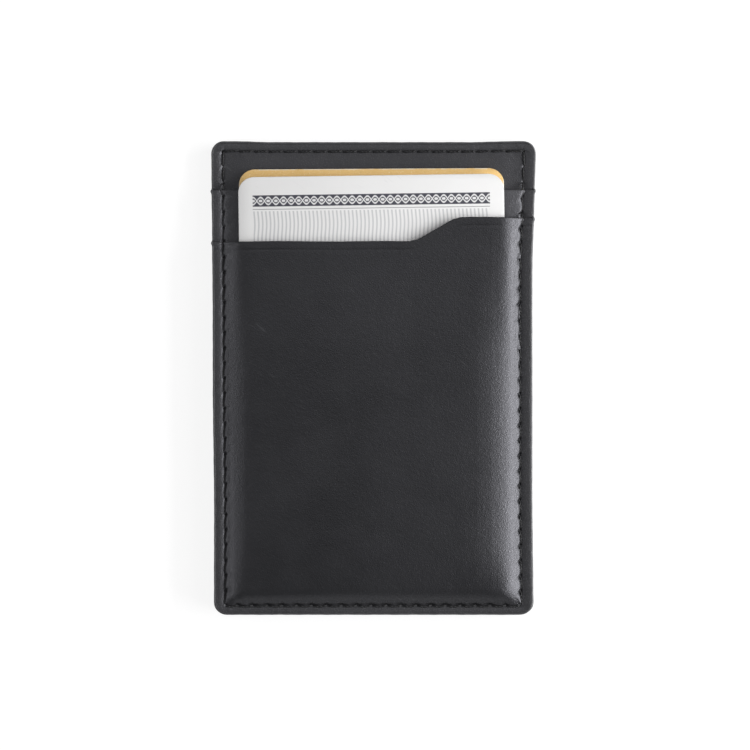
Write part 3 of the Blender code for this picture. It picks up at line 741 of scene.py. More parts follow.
def seam_host(name, rim, facing, bow):
    """Bare polylines, one for each stitch, that follow the leather from hole to hole.

    Where a pocket swells beside the seam, it pushes each stitch outwards by the bow.
    """
    points, edges = [], []
    shares = np.linspace(0, 1, 41)
    picked = np.linspace(0, 40, THREAD_STEPS).round().astype(int)
    for start, end in stitch_lines():
        x = start[0] + (end[0] - start[0]) * shares
        y = start[1] + (end[1] - start[1]) * shares
        length = float(np.hypot(*(end - start)))
        layer = (facing * rim(x, y))[np.clip(np.arange(41), 5, 35)]
        height = taut((shares * length).tolist(), layer.tolist())
        swollen = smooth((front_mouth(x) - y) / 0.8) if bow else np.zeros_like(x)
        on_side = abs(start[0] - end[0]) < 1e-6
        sunk = THREAD_BED + (SIDE_DIP if on_side else FOOT_DIP if start[1] < 0 else HEAD_DIP)
        height = height - sunk * smooth(1 - (height - layer) / 0.3)
        into_hole = INTO_HOLE * (1 - smooth(np.minimum(shares, 1 - shares) / 0.15))
        height = facing * (height + THREAD_RADIUS * (0.66 - 0.36 * swollen) - into_hole)
        upward = shares if end[1] > start[1] else 1 - shares
        slant = SIDE_TURN * (upward - 0.45) if on_side else END_TURN * (shares - 0.5)
        inward = slant - (bow if on_side else FOOT_BOW) * swollen * np.sin(math.pi * shares)
        across = (end - start)[::-1] / length * (-1, 1)
        x, y = sway(x + across[0] * inward, y + across[1] * inward)
        first = len(points)
        points += (np.column_stack([x, y, height])[picked] * MM).tolist()
        edges += [(first + i, first + i + 1) for i in range(THREAD_STEPS - 1)]
    mesh = bpy.data.meshes.new(name)
    mesh.from_pydata(points, edges, [])
    return linked(name, mesh)


def stitch_tree():
    """Turns polylines into twisted thread: an oval cord that turns along each stitch."""
    tree, given, results = group(
        "twisted_stitches",
        "GeometryNodeTree",
        (
            ("Route", "NodeSocketGeometry", None),
            ("Thread Radius", FLOAT, THREAD_RADIUS * MM),
            ("Flatness", FLOAT, FLATNESS),
            ("Turns Per Stitch", FLOAT, TURNS_PER_STITCH),
            ("Thread", "NodeSocketMaterial", None),
        ),
        [("Stitches", "NodeSocketGeometry")],
    )
    curve = tree.add("GeometryNodeMeshToCurve", {"Mesh": given["Route"]})[0]
    along = tree.add("GeometryNodeSplineParameter")["Factor"]
    turn = tree.times(along, tree.times(given["Turns Per Stitch"], 2 * math.pi))
    tilted = tree.add("GeometryNodeSetCurveTilt", {"Curve": curve, "Tilt": turn})[0]
    size = {"Resolution": 8, "Radius": given["Thread Radius"]}
    ring = tree.add("GeometryNodeCurvePrimitiveCircle", size)["Curve"]
    wide, thin = (tree.maths(way, 1.0, given["Flatness"]) for way in ("ADD", "SUBTRACT"))
    squash = tree.add("ShaderNodeCombineXYZ", (wide, thin))[0]
    place = tree.scaled(squash, tree.add("GeometryNodeInputPosition")[0])
    oval = tree.add("GeometryNodeSetPosition", {"Geometry": ring, "Position": place})[0]
    parts = {"Curve": tilted, "Profile Curve": oval, "Fill Caps": True}
    cord = tree.add("GeometryNodeCurveToMesh", parts)[0]
    cord = tree.add("GeometryNodeSetShadeSmooth", {"Geometry": cord})[0]
    cord = tree.add("GeometryNodeRealizeInstances", {"Geometry": cord})[0]
    dyed = tree.add("GeometryNodeSetMaterial", {"Geometry": cord, "Material": given["Thread"]})[0]
    tree.wire(results["Stitches"], dyed)
    return tree.tree


def stitches(name, rim, facing, bow, tree, thread):
    host = seam_host(f"{name}_route", rim, facing, bow)
    modifier = host.modifiers.new("stitches", "NODES")
    modifier.node_group = tree
    sockets = [item for item in tree.interface.items_tree if item.in_out == "INPUT"]
    keys = {item.name: item.identifier for item in sockets}
    modifier[keys["Thread Radius"]] = THREAD_RADIUS * MM
    modifier[keys["Flatness"]] = FLATNESS
    modifier[keys["Turns Per Stitch"]] = TURNS_PER_STITCH
    modifier[keys["Thread"]] = thread
    shaped = host.evaluated_get(bpy.context.evaluated_depsgraph_get())
    mesh = bpy.data.meshes.new_from_object(shaped)
    mesh.name = name
    bpy.data.objects.remove(host)
    return new_object(name, mesh, thread)


# Cards

CARD_HALF_WIDTH = 26.99
CARD_HALF_LENGTH = 42.80
CARD_CORNER = 3.18
CARD_THICKNESS = 0.76
CARD_EASE = 0.10

# Inlays of a card: left, right, low, high, corner, bottom and top
PLATE = (-8.99, 2.81, -32.80, -19.80, 1.6, 0.56, 0.76)
STRIPE = (-22.99, -10.29, -42.10, 42.10, 0.6, 0.0, 0.10)
SIGNATURE = (-7.09, 2.41, -34.80, 27.20, 0.6, 0.0, 0.10)
INLAY_GAP = 0.10

# Fields of a contact plate
CHANNEL = 0.22
PLATE_MARGIN = 0.25
FIELD_WIDTH = 3.75
FIELD_PROUD = 0.004
BASE_SUNK = 0.035


def prism(name, levels, finish):
    """A solid through rings of equal counts, each given with its height, closed at both ends."""
    bm = bmesh.new()
    rings = [[bm.verts.new((x, y, z)) for x, y, *_ in sum(arcs, [])] for arcs, z in levels]
    for lower, upper in zip(rings, rings[1:]):
        for i, corner in enumerate(lower):
            j = (i + 1) % len(lower)
            bm.faces.new((corner, lower[j], upper[j], upper[i]))
    bm.faces.new(rings[0])
    bm.faces.new(rings[-1])
    bmesh.ops.recalc_face_normals(bm, faces=bm.faces)
    return new_object(name, mesh_from(name, bm), finish)


def block(name, left, right, low, high, corner, bottom, top, finish):
    """An upright prism with round corners, in a card's own millimetres."""
    arcs = rounded_corners(left + corner, right - corner, low + corner, high - corner, corner, 6)
    return prism(name, [(arcs, bottom), (arcs, top)], finish)


def card_body(name, matrix, finish):
    """A laminated card with eased edges and the recesses that its inlays lie in."""
    x, y = CARD_HALF_WIDTH - CARD_CORNER, CARD_HALF_LENGTH - CARD_CORNER
    levels = [(CARD_EASE, 0.0), (0.3 * CARD_EASE, 0.3 * CARD_EASE), (0.0, CARD_EASE)]
    levels += [(inset, CARD_THICKNESS - z) for inset, z in reversed(levels)]
    rings = [(rounded_corners(-x, x, -y, y, CARD_CORNER - inset, 10), z) for inset, z in levels]
    card = prism(name, rings, finish)
    cutters = []
    for inlay, is_front in ((PLATE, True), (STRIPE, False), (SIGNATURE, False)):
        cutters.append(recess(inlay, is_front, finish))
        modifier = card.modifiers.new("recess", "BOOLEAN")
        modifier.operation = "DIFFERENCE"
        modifier.solver = "EXACT"
        modifier.object = cutters[-1]
    cut = bpy.data.meshes.new_from_object(card.evaluated_get(bpy.context.evaluated_depsgraph_get()))
    for spent in (card, *cutters):
        bpy.data.objects.remove(spent)
    made = placed_card(name, cut, matrix, finish)
    shade_by_angle(made)
    return made


def recess(inlay, is_front, finish):
    """What is cut from a card for an inlay: the inlay, a gap round it, and the air over it."""
    left, right, low, high, corner, bottom, top = inlay
    gap = INLAY_GAP
    depth = (bottom - gap, top + 2.0) if is_front else (bottom - 2.0, top + gap)
    return block("recess", left - gap, right + gap, low - gap, high + gap, corner + gap, *depth, finish)


def placed_card(name, mesh, matrix, finish):
    """Stores each point's place on its own card, for the print to follow, and lays it in place."""
    places = np.zeros(len(mesh.vertices) * 3, np.float32)
    mesh.vertices.foreach_get("co", places)
    attribute = mesh.attributes.new("card_place", "FLOAT_VECTOR", "POINT")
    attribute.data.foreach_set("vector", places)
    mesh.transform(matrix)
    return new_object(name, mesh, finish)


def shade_by_angle(piece):
    bpy.ops.object.select_all(action="DESELECT")
    bpy.context.view_layer.objects.active = piece
    piece.select_set(True)
    bpy.ops.object.shade_smooth_by_angle(angle=math.radians(35.0))
    for modifier in list(piece.modifiers):
        bpy.ops.object.modifier_apply(modifier=modifier.name)


def card_matrix(place, tilt):
    """Takes a card from its own millimetres to where it lies in its pocket."""
    return Matrix.Scale(MM, 4) @ Matrix.Translation(place) @ Matrix.Rotation(math.radians(tilt), 4, "Z")


def contact_plate(name, matrix, finish):
    """A contact plate: a thin base with ten raised fields parted by channels."""
    left, right, low, high, corner, bottom, top = PLATE
    base_top = top - BASE_SUNK
    foot, head = low + PLATE_MARGIN, high - PLATE_MARGIN
    row = (high - low - 2 * PLATE_MARGIN - 3 * CHANNEL) / 4
    starts = [foot + step * (row + CHANNEL) for step in range(4)]
    inner_left = left + PLATE_MARGIN + FIELD_WIDTH
    inner_right = right - PLATE_MARGIN - FIELD_WIDTH
    fields = [(left + PLATE_MARGIN, inner_left, start, start + row, 0.3) for start in starts]
    fields += [(inner_right, right - PLATE_MARGIN, start, start + row, 0.3) for start in starts]
    middle = (low + high) / 2
    for start, end in ((foot, middle - CHANNEL / 2), (middle + CHANNEL / 2, head)):
        fields.append((inner_left + CHANNEL, inner_right - CHANNEL, start, end, 0.5))
    parts = [block(name, left, right, low, high, corner, bottom, base_top, finish)]
    parts += [block("field", *field, base_top - 0.02, top + FIELD_PROUD, finish) for field in fields]
    bm = bmesh.new()
    for part in parts:
        bm.from_mesh(part.data)
        bpy.data.objects.remove(part)
    return placed_card(name, mesh_from(name, bm), matrix, finish)


# Materials


def grain_group():
    """Pebbled grain of a finished hide: domed cells parted by fine valleys, on soft mottling."""
    tree, given, results = group(
        "hide_grain",
        "ShaderNodeTree",
        [("Place", VECTOR, None), ("Cells Per Metre", FLOAT, 2500.0), ("Softness", FLOAT, 0.42)],
        [("Height", FLOAT), ("Valley", FLOAT), ("Mottle", FLOAT)],
    )
    cloud = tree.add("ShaderNodeTexNoise", {"Vector": tree.place, "Scale": 900.0})["Color"]
    bend = (cloud, (0.0005, 0.0005, 0.0005), tree.place)
    bent = tree.add("ShaderNodeVectorMath", bend, operation="MULTIPLY_ADD")[0]
    packing = {"Vector": bent, "Scale": given["Cells Per Metre"]}
    cells = tree.add("ShaderNodeTexVoronoi", packing, feature="DISTANCE_TO_EDGE")["Distance"]
    dome = tree.ranged(cells, 0.0, given["Softness"])
    crease = tree.times(tree.noise(1300.0, 3.0, 0.5, 0.6), 1.1)
    rough = tree.fused(tree.noise(5200.0, 3.0, 0.6), 0.22, crease)
    tree.wire(results["Height"], tree.fused(dome, 0.42, rough))
    tree.wire(results["Valley"], tree.maths("SUBTRACT", 1.0, dome))
    tree.wire(results["Mottle"], tree.ranged(tree.noise(70.0, 5.0, 0.55), 0.3, 0.7))


def scuff_group():
    """Fine rubbed streaks and small marks left by handling."""
    inputs = [("Place", VECTOR, None), ("Rarity", FLOAT, 0.66)]
    tree, given, results = group("handling_marks", "ShaderNodeTree", inputs, [("Mark", FLOAT)])
    rarity = given["Rarity"]
    marks = []
    for turn, scale in ((0.5, (260.0, 2600.0, 800.0)), (-0.9, (2400.0, 190.0, 700.0))):
        way = {"Vector": tree.place, "Angle": turn}
        turned = tree.add("ShaderNodeVectorRotate", way, rotation_type="Z_AXIS")[0]
        streak = tree.noise(1.0, place=tree.scaled(scale, turned))
        marks.append(tree.ranged(streak, rarity, tree.maths("ADD", rarity, 0.12)))
    where = tree.ranged(tree.noise(120.0), 0.48, 0.66)
    tree.wire(results["Mark"], tree.times(tree.maths("MAXIMUM", *marks), where))


class Finish(Tree):
    """A material that is being built. A card's print follows the places stored on the card."""

    def __init__(self, name, on_card=False):
        self.made = bpy.data.materials.new(name)
        self.made.use_nodes = True
        super().__init__(self.made.node_tree)
        self.shader = self.tree.nodes["Principled BSDF"].inputs
        self.place = self.on_object = self.add("ShaderNodeTexCoord")["Object"]
        if on_card:
            self.place = self.add("ShaderNodeAttribute", attribute_name="card_place")["Vector"]

    def shared(self, name, **given):
        tree = bpy.data.node_groups[name]
        return self.add("ShaderNodeGroup", {"Place": self.on_object, **given}, node_tree=tree)

    def tinted(self, ground, share, strength, colour):
        return self.mixed(self.times(share, strength), ground, colour)

    def worn(self, ground, rarity, strength, colour):
        """A colour with the marks of handling on it."""
        return self.tinted(ground, self.shared("handling_marks", Rarity=rarity)["Mark"], strength, colour)

    def outside_seam(self):
        """1 on the rim outside the stitched rectangle, 0 within it."""
        x, y, _ = self.split()
        side = self.maths("SUBTRACT", self.maths("ABSOLUTE", x), (HALF_WIDTH - SEAM_SIDE) * MM)
        end = self.maths("SUBTRACT", self.maths("ABSOLUTE", y), (HALF_LENGTH - SEAM_END) * MM)
        return self.ranged(self.maths("MAXIMUM", side, end), -0.0001, 0.0006)

    def done(self, colour, roughness, height, depth):
        """Wires the shader up and returns the material."""
        self.wire(self.shader["Base Color"], colour)
        self.wire(self.shader["Roughness"], roughness)
        relief = self.add("ShaderNodeBump", {"Height": height, "Distance": depth, "Strength": 1.0})
        self.wire(self.shader["Normal"], relief["Normal"])
        return self.made


def leather_finish(name, dark, light, roughness):
    """Finished black hide: grained, mottled and marked by handling, with painted light on its rim and
    painted shade in its grain's valleys.
    """
    made = Finish(name)
    hide = made.shared("hide_grain")
    ground = made.mixed(hide["Mottle"], dark, light)
    # Painted light: the rim outside the seam is painted paler, for the brighter light that falls on it
    ground = made.mixed(made.outside_seam(), ground, (0.042, 0.042, 0.044))
    # Painted shade: the grain's valleys are darkened in colour
    ground = made.tinted(ground, hide["Valley"], 0.62, tuple(0.40 * part for part in dark))
    ground = made.worn(ground, 0.66, 0.25, (0.10, 0.10, 0.105))
    rough = made.linear(hide["Mottle"], 0.0, 1.0, *roughness)
    made.shader["Specular IOR Level"].default_value = 0.75
    made.shader["Specular Tint"].default_value = (0.92, 0.92, 1.0, 1.0)
    return made.done(ground, made.fused(hide["Valley"], 0.10, rough), hide["Height"], 0.00004)


def cloth_finish(name, dark, light):
    """Fine plain weave of a pocket lining."""
    made = Finish(name)
    x, y, _ = made.split()
    over = made.times(made.waves(x, 0.00042), made.waves(y, 0.00042))
    weave = made.ranged(over, -1.0, 1.0)
    slub = made.noise(900.0, 3.0)
    ground = made.mixed(made.times(weave, slub), dark, light)
    rough = made.ranged(slub, 0.3, 0.7, 0.75, 0.92)
    return made.done(ground, rough, made.maths("ADD", weave, slub), 0.00006)


def edge_finish(name):
    """Satin edge paint, a little wavy, with rubbed spots, and painted paler than black paint as a painted
    highlight on the rounded edge.
    """
    made = Finish(name)
    wave = made.noise(420.0, 4.0, 0.6)
    # Painted highlight: the paint's colour is set paler for the light that its rounded edge catches
    ground = made.mixed(wave, (0.046, 0.046, 0.050), (0.066, 0.066, 0.071))
    ground = made.worn(ground, 0.60, 0.35, (0.16, 0.16, 0.165))
    return made.done(ground, made.ranged(wave, 0.35, 0.65, 0.30, 0.48), wave, 0.00012)


def thread_finish(name):
    """Bonded polyester thread: fine filaments with a slight sheen."""
    made = Finish(name)
    filament = made.noise(9000.0, 3.0)
    ground = made.mixed(filament, (0.008, 0.008, 0.009), (0.022, 0.022, 0.024))
    rough = made.ranged(made.noise(600.0), 0.3, 0.7, 0.52, 0.64)
    made.shader["Specular IOR Level"].default_value = 0.35
    return made.done(ground, rough, filament, 0.00002)


def board_finish(name):
    """Pressed board: grey-brown fibres with dark flecks."""
    made = Finish(name)
    fibre = made.noise(2400.0, 5.0, 0.5, 1.2)
    fleck = made.noise(350.0, 4.0)
    ground = made.mixed(fibre, (0.20, 0.19, 0.17), (0.38, 0.37, 0.34))
    ground = made.mixed(made.ranged(fleck, 0.55, 0.7, 0.0, 0.5), ground, (0.12, 0.11, 0.10))
    return made.done(ground, made.ranged(fleck, 0.3, 0.7, 0.82, 0.95), fibre, 0.00008)


def foam_finish(name):
    """Grey foam tape with closed cells that show as fine pits, with painted shade in each pit."""
    made = Finish(name)
    cells = made.add("ShaderNodeTexVoronoi", {"Vector": made.place, "Scale": 3800.0})["Distance"]
    cloud = made.noise(140.0, 4.0)
    pit = made.ranged(cells, 0.0, 0.45)
    ground = made.mixed(cloud, (0.15, 0.15, 0.16), (0.24, 0.24, 0.25))
    # Painted shade: the pits are darkened in colour
    ground = made.mixed(pit, (0.085, 0.085, 0.09), ground)
    return made.done(ground, made.ranged(cloud, 0.3, 0.7, 0.38, 0.55), pit, 0.00005)


def paper_finish(name):
    """Release paper: off-white with long pale fibres, ruled slantwise, under a thin silicone gloss."""
    made = Finish(name)
    fibre = made.noise(1.0, 4.0, 0.5, 1.5, made.scaled((900.0, 2600.0, 1500.0)))
    cloud = made.noise(160.0, 3.0)
    ground = made.mixed(fibre, (0.70, 0.67, 0.60), (0.84, 0.82, 0.77))
    ground = made.mixed(made.ranged(cloud, 0.3, 0.7, 0.0, 0.55), ground, (0.66, 0.64, 0.56))
    x, y, _ = made.split()
    ruled = made.ranged(made.waves(made.fused(x, 0.6, y), 0.0085), 0.90, 0.99, 0.0, 0.45)
    ground = made.mixed(ruled, ground, (0.46, 0.50, 0.52))
    return made.done(ground, made.ranged(fibre, 0.3, 0.7, 0.30, 0.46), fibre, 0.00004)


def braid(made, x, y, low, high, pitch):
    """Two strands that twist round each other, with a bead in each loop."""
    height = made.maths("SUBTRACT", y, (low + high) / 2)
    height = made.maths("DIVIDE", height, (high - low) / 2)
    wave = made.waves(x, pitch)
    swing = made.times(wave, 0.62)
    strands = []
    for operation in ("SUBTRACT", "ADD"):
        gap = made.maths("ABSOLUTE", made.maths(operation, height, swing))
        strands.append(made.linear(gap, 0.10, 0.20))
    bead_x = made.times(made.maths("SUBTRACT", 1.0, made.maths("ABSOLUTE", wave)), 2.2)
    bead_y = made.maths("POWER", made.times(height, 2.6), 2.0)
    bead = made.maths("ADD", made.maths("POWER", bead_x, 2.0), bead_y)
    return made.maths("MAXIMUM", made.maths("MAXIMUM", *strands), made.linear(bead, 0.25, 0.45))


def rosette(made, x, y, centre, reach, pitch):
    """Rings that swell and shrink round a centre, as an engine-turned flower."""
    off_x, off_y = (made.maths("SUBTRACT", way, middle) for way, middle in zip((x, y), centre))
    square = made.maths("ADD", made.times(off_x, off_x), made.times(off_y, off_y))
    radius = made.maths("SQRT", square)
    turn = made.maths("ARCTAN2", off_y, off_x)
    lobes = made.times(made.maths("COSINE", made.times(turn, 12.0)), 0.10)
    rings = made.ranged(made.waves(made.fused(lobes, radius, radius), pitch), 0.1, 0.7)
    return made.times(rings, made.linear(radius, reach - 0.1, reach))


def silver_card_finish(name):
    """Silver-white card: pale margin, a dark braided band, and a field of fine upright lines."""
    made = Finish(name, True)
    x, y, z = made.split()
    cloud = made.noise(0.12, 4.0)
    pale = made.mixed(cloud, (0.748, 0.745, 0.740), (0.798, 0.795, 0.791))
    lines = made.ranged(made.waves(made.fused(made.waves(y, 7.0), 0.10, x), 0.80), -0.1, 0.7)
    field = made.boxed(x, y, -24.0, 24.0, -39.2, 35.8)
    ground = made.tinted(pale, lines, field, (0.545, 0.545, 0.555))
    flower = rosette(made, x, y, (0.0, 8.0), 13.0, 1.25)
    ground = made.tinted(ground, flower, 0.55, (0.36, 0.36, 0.39))
    blank_panel = made.boxed(x, y, -21.0, 7.0, -14.0, -8.5)
    ground = made.mixed(blank_panel, ground, pale)
    ink = (0.062, 0.062, 0.078)
    for low, high in ((36.75, 39.05), (-41.0, -39.9)):
        printed = made.mixed(braid(made, x, y, low, high, 3.1), ink, (0.70, 0.70, 0.70))
        ground = made.mixed(made.boxed(x, y, -24.1, 24.1, low, high), ground, printed)
    rule = made.boxed(x, y, -24.1, 24.1, 36.12, 36.26)
    ground = made.tinted(ground, rule, 0.7, ink)
    plain = made.mixed(cloud, (0.70, 0.70, 0.70), (0.76, 0.76, 0.755))
    on_face = made.stepped(z, 0.70, 2.0)
    ground = made.mixed(on_face, plain, ground)
    ground = made.worn(ground, 0.64, 0.18, (0.5, 0.5, 0.51))
    made.shader["Specular IOR Level"].default_value = 0.28
    fine = made.noise(1.6, 3.0)
    return made.done(ground, made.ranged(cloud, 0.3, 0.7, 0.44, 0.52), fine, 0.00001)


def gold_card_finish(name):
    """Gold card: warm metallic print with faint diagonal lines, rubbed pale along its edges."""
    made = Finish(name, True)
    x, y, z = made.split()
    cloud = made.noise(0.45, 5.0, 0.6)
    ground = made.mixed(cloud, (0.82, 0.53, 0.19), (0.89, 0.61, 0.26))
    slant = made.maths("ADD", x, made.fused(made.waves(y, 11.0), 0.5, y))
    lines = made.ranged(made.waves(slant, 1.5), 0.2, 0.9, 0.0, 0.35)
    field = made.boxed(x, y, -24.0, 24.0, -39.5, 39.5)
    ground = made.tinted(ground, lines, field, (0.42, 0.26, 0.09))
    ground = made.tinted(ground, rosette(made, x, y, (3.0, 4.0), 15.0, 1.6), 0.5, (0.38, 0.23, 0.08))
    side = made.maths("SUBTRACT", CARD_HALF_WIDTH, made.maths("ABSOLUTE", x))
    end = made.maths("SUBTRACT", CARD_HALF_LENGTH, made.maths("ABSOLUTE", y))
    near = made.ranged(made.maths("MINIMUM", side, end), 0.05, 0.30, 1.0, 0.0)
    rubbed = made.times(near, made.ranged(cloud, 0.40, 0.56, 0.15, 0.85))
    speck = made.noise(2.6, 3.0, 0.7)
    ground = made.mixed(made.ranged(speck, 0.56, 0.70, 0.0, 0.55), ground, (0.92, 0.78, 0.50))
    ground = made.mixed(made.ranged(speck, 0.44, 0.30, 0.0, 0.40), ground, (0.62, 0.38, 0.11))
    ground = made.mixed(rubbed, ground, (0.80, 0.74, 0.62))
    core = made.mixed(cloud, (0.74, 0.70, 0.60), (0.80, 0.77, 0.70))
    on_edge = made.stepped(z, 0.08, 0.66)
    ground = made.mixed(on_edge, ground, core)
    ground = made.worn(ground, 0.62, 0.3, (0.80, 0.72, 0.56))
    made.wire(made.shader["Metallic"], made.linear(rubbed, 0.0, 1.0, 0.25))
    fine = made.noise(1.6, 3.0)
    return made.done(ground, made.ranged(cloud, 0.3, 0.7, 0.34, 0.46), fine, 0.00001)


def contact_finish(name):
    """Gilt contacts, brushed and a little tarnished."""
    made = Finish(name)
    brushed = made.noise(1.0, 3.0, place=made.scaled((6000.0, 500.0, 3000.0)))
    ground = made.mixed(made.noise(420.0, 4.0), (0.66, 0.48, 0.20), (0.83, 0.68, 0.38))
    made.shader["Metallic"].default_value = 0.55
    return made.done(ground, made.ranged(brushed, 0.3, 0.7, 0.28, 0.42), brushed, 0.00001)


def stripe_finish(name):
    """Magnetic stripe: dark oxide with the marks of many readers."""
    made = Finish(name)
    mark = made.shared("handling_marks", Rarity=0.58)["Mark"]
    oxide = made.noise(5000.0)
    ground = made.mixed(oxide, (0.020, 0.016, 0.014), (0.040, 0.033, 0.029))
    ground = made.tinted(ground, mark, 0.4, (0.16, 0.15, 0.14))
    return made.done(ground, made.ranged(mark, 0.0, 1.0, 0.24, 0.5), oxide, 0.00001)


def signature_finish(name):
    """Matt writing strip with fine crossed lines."""
    made = Finish(name)
    x, y, _ = made.split()
    ways = [made.maths(operation, x, y) for operation in ("ADD", "SUBTRACT")]
    ruled = [made.ranged(made.waves(way, 0.0011), 0.55, 0.95, 0.0, 0.5) for way in ways]
    chalk = made.noise(3000.0, 3.0)
    ground = made.mixed(chalk, (0.78, 0.78, 0.75), (0.86, 0.86, 0.84))
    ground = made.mixed(made.maths("MAXIMUM", *ruled), ground, (0.50, 0.56, 0.62))
    return made.done(ground, made.ranged(chalk, 0.3, 0.7, 0.62, 0.8), chalk, 0.00002)


# Studio

WHITE = (1.0, 1.0, 1.0)
LAMP_LENGTH = 1.10


def studio():
    world = bpy.data.worlds.new("studio")
    bpy.context.scene.world = world
    world.use_nodes = True
    tree = Tree(world.node_tree)
    tree.tree.nodes.clear()
    seen = tree.add("ShaderNodeLightPath")["Is Camera Ray"]
    ambient = tree.add("ShaderNodeBackground", ((0.97, 0.97, 1.0), 0.12))[0]
    white = tree.add("ShaderNodeBackground", (WHITE, 1.0))[0]
    tree.add("ShaderNodeOutputWorld", tree.add("ShaderNodeMixShader", (seen, ambient, white))[:])

    # Soft lamps a metre away: the side each is on, its lean from straight above in degrees, its
    # width and its strength
    for name, side, lean, wide, strength in (
        ("window_upper", 0, 42, 0.34, 1.9),
        ("window", 0, 60, 0.20, 15.0),
        ("window_foot", 0, 74, 0.20, 7.6),
        ("left_upper", 180, 53, 0.20, 2.1),
        ("left_lower", 180, 64, 0.20, 2.0),
        ("head_end", 90, 18, 0.20, 1.2),
        ("foot_end", 270, 70, 0.36, 0.5),
    ):
        turn, lean = math.radians(side), math.radians(lean)
        flat = math.sin(lean)
        towards = Vector((flat * math.cos(turn), flat * math.sin(turn), math.cos(lean)))
        tangent = Vector((-math.sin(turn), math.cos(turn), 0))
        light = bpy.data.lights.new(name, "AREA")
        light.shape = "RECTANGLE"
        light.size, light.size_y = wide, LAMP_LENGTH
        light.energy = math.pi * light.size * light.size_y * strength
        lamp = linked(name, light)
        lamp.location = towards
        lamp.rotation_euler = Matrix((tangent.cross(towards), tangent, towards)).transposed().to_euler()


def floor():
    """White paper that keeps the object's shadow, and can't be seen from below."""
    mesh = bpy.data.meshes.new("floor")
    reach, split = 3.0, 1.0
    corners = [(x, y, 0) for x in (-reach, split, reach) for y in (-reach, reach)]
    mesh.from_pydata(corners, [], [(0, 2, 3, 1), (2, 4, 5, 3)])
    made = bpy.data.materials.new("white_paper")
    made.use_nodes = True
    tree = Tree(made.node_tree)
    tree.tree.nodes.clear()
    path = tree.add("ShaderNodeLightPath")
    lit = tree.add("ShaderNodeBsdfDiffuse", [(0.22, 0.22, 0.22)])[0]
    glow = tree.add("ShaderNodeEmission", (WHITE, 0.85))[0]
    seen = tree.add("ShaderNodeAddShader", (lit, glow))[0]
    reflected = tree.add("ShaderNodeEmission", (WHITE, 0.55))[0]
    looked_at = tree.maths("MAXIMUM", path["Is Camera Ray"], path["Is Glossy Ray"])
    looked_at = tree.maths("MAXIMUM", looked_at, path["Is Transmission Ray"])
    above = tree.add("ShaderNodeMixShader", (looked_at, reflected, seen))[0]
    below = tree.add("ShaderNodeBsdfTransparent")[0]
    is_below = tree.add("ShaderNodeNewGeometry")["Backfacing"]
    side = tree.add("ShaderNodeMixShader", (is_below, above, below))
    tree.add("ShaderNodeOutputMaterial", side[:])
    sheet = new_object("floor", mesh, made)


def camera():
    data = bpy.data.cameras.new("camera")
    data.lens = 164.0
    data.sensor_width = 36.0
    data.clip_start = 0.01
    eye = linked("camera", data)
    eye.location = (0.00053, 0.00063, 0.70)
    bpy.context.scene.camera = eye


def pocket_panels(pocket, finish, lining, seen_from):
    """The leather of a pocket, detailed at the needle holes above seen_from, and its lining."""
    top_y = pocket.mouth(-HALF_WIDTH)
    places = stations(top_y + HALF_LENGTH - LEATHER_INSET, RIM_SPANS, MOUTH_SPANS, 3.0)
    first = max(-1, math.floor((seen_from + HALF_LENGTH - SEAM_END) / SIDE_PITCH))
    sizes = (LEATHER_INSET, LEATHER_ROUND, hole_columns((-0.06, 0.0, 0.06)), hole_rows(places, first))
    name, mouth = pocket.name, pocket.mouth
    leather = panel(f"{name}_pocket", pocket.front, pocket.back, finish, *sizes, mouth)
    drop = HEM_DEPTH + 0.10
    spans = (HIDDEN_SPANS, HIDDEN_SPANS, 0.8)
    columns = stations(2 * (HALF_WIDTH - LINING_INSET), *spans)
    rows = stations(top_y - drop + HALF_LENGTH - LINING_INSET, *spans)
    faces = (pocket.lining_front, pocket.lining_back)
    sizes = (LINING_INSET, LINING_ROUND, columns, rows)
    cloth = panel(f"{name}_lining", *faces, lining, *sizes, mouth, drop)
    return {f"{name}_pocket_leather": leather, f"{name}_pocket_lining": cloth}


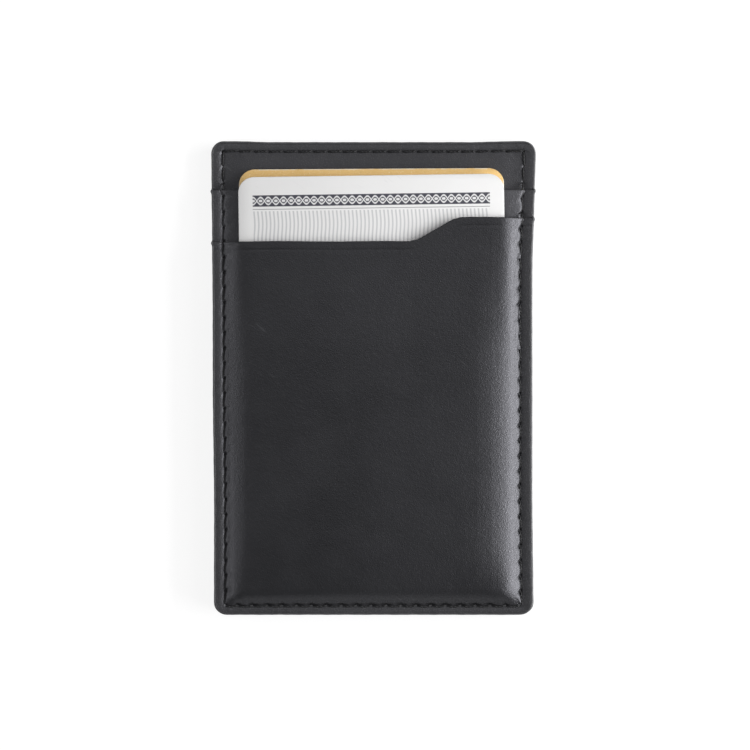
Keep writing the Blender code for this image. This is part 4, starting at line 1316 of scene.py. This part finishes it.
def wallet():
    """The sewn pieces, each under the name of the CAD node that it replaces."""
    leather = leather_finish("black_hide", (0.0090, 0.0092, 0.0098), (0.0140, 0.0142, 0.0152), (0.31, 0.36))
    # Painted light: a copy of the same black hide painted lighter, for the facing and the middle pocket,
    # standing in for the brighter light on them
    lit_copy_hide = leather_finish(
        "black_hide_behind_cards", (0.030, 0.030, 0.032), (0.038, 0.038, 0.040), (0.34, 0.40)
    )
    lining = cloth_finish("lining_cloth", (0.010, 0.010, 0.011), (0.040, 0.040, 0.043))
    edge = edge_finish("satin_edge_paint")
    thread = thread_finish("bonded_thread")
    front = Pocket("front", FRONT_FRONT, FRONT_RISE, FRONT_THICKNESS, front_mouth, 3.0, True)
    middle = Pocket("middle", MIDDLE_FRONT, MIDDLE_RISE, MIDDLE_THICKNESS, middle_mouth, 17.0, False)
    made = pocket_panels(front, leather, lining, -HALF_LENGTH)
    made.update(pocket_panels(middle, lit_copy_hide, lining, FRONT_MOUTH_LOW_Y - 2.0))
    length = 2 * (HALF_LENGTH - LEATHER_INSET)
    columns = hole_columns((-0.06, 0.0, 0.06, 0.5))
    head_rows = hole_rows(stations(length, HIDDEN_SPANS, RIM_SPANS, 1.6), 26)
    back_rows = hole_rows(stations(length, RIM_SPANS, RIM_SPANS, 3.0), -1, HOLE_OFFSETS[1:7])
    sizes = (LEATHER_INSET, LEATHER_ROUND, columns)
    made["facing_leather"] = panel("facing", facing_front, level(FACING_BACK), lit_copy_hide, *sizes, head_rows)
    made["rear_leather"] = panel("rear_panel", level(REAR_FRONT), rear_back, leather, *sizes, back_rows)
    made["edge_coat"] = painted_edge(edge)
    tree = stitch_tree()
    made["needle_thread"] = stitches("front_stitches", edge_height, 1, THREAD_BOW, tree, thread)
    made["bobbin_thread"] = stitches("back_stitches", level(REAR_BACK), -1, 0.0, tree, thread)
    return made


def main():
    bpy.context.scene.view_settings.view_transform = "Standard"
    camera()
    studio()
    floor()
    grain_group()
    scuff_group()
    for node, piece in wallet().items():
        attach(piece, "wallet")
        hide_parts(node)

    contacts = contact_finish("gilt_contacts")
    stripe = stripe_finish("magnetic_oxide")
    signature = signature_finish("writing_strip")
    silver = silver_card_finish("silver_print")
    gold = gold_card_finish("gold_print")
    for body, name, place, tilt, finish, slot in (
        ("front_card", "silver_card", (0.30, -1.625, 5.41), 0.8, silver, "silver_card_face"),
        ("rear_card", "gold_card", (0.05, -0.1589, 3.45), 0.35, gold, "gold_card_face"),
    ):
        matrix = card_matrix(place, tilt)
        card = card_body(name, matrix, finish)
        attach(card, body)
        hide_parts(body)
        plate = contact_plate(f"{name}_contacts", matrix, contacts)
        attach(plate, body)
        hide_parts(f"{body}_contact_plate")
        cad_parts[f"{body}_magnetic_stripe"].material_slots[0].material = stripe
        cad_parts[f"{body}_signature_strip"].material_slots[0].material = signature

    for node, finish in (
        ("stiffener_board", board_finish("pressed_board")),
        ("adhesive_pad", foam_finish("foam_tape")),
        ("release_liner", paper_finish("release_paper")),
    ):
        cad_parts[node].material_slots[0].material = finish


main()
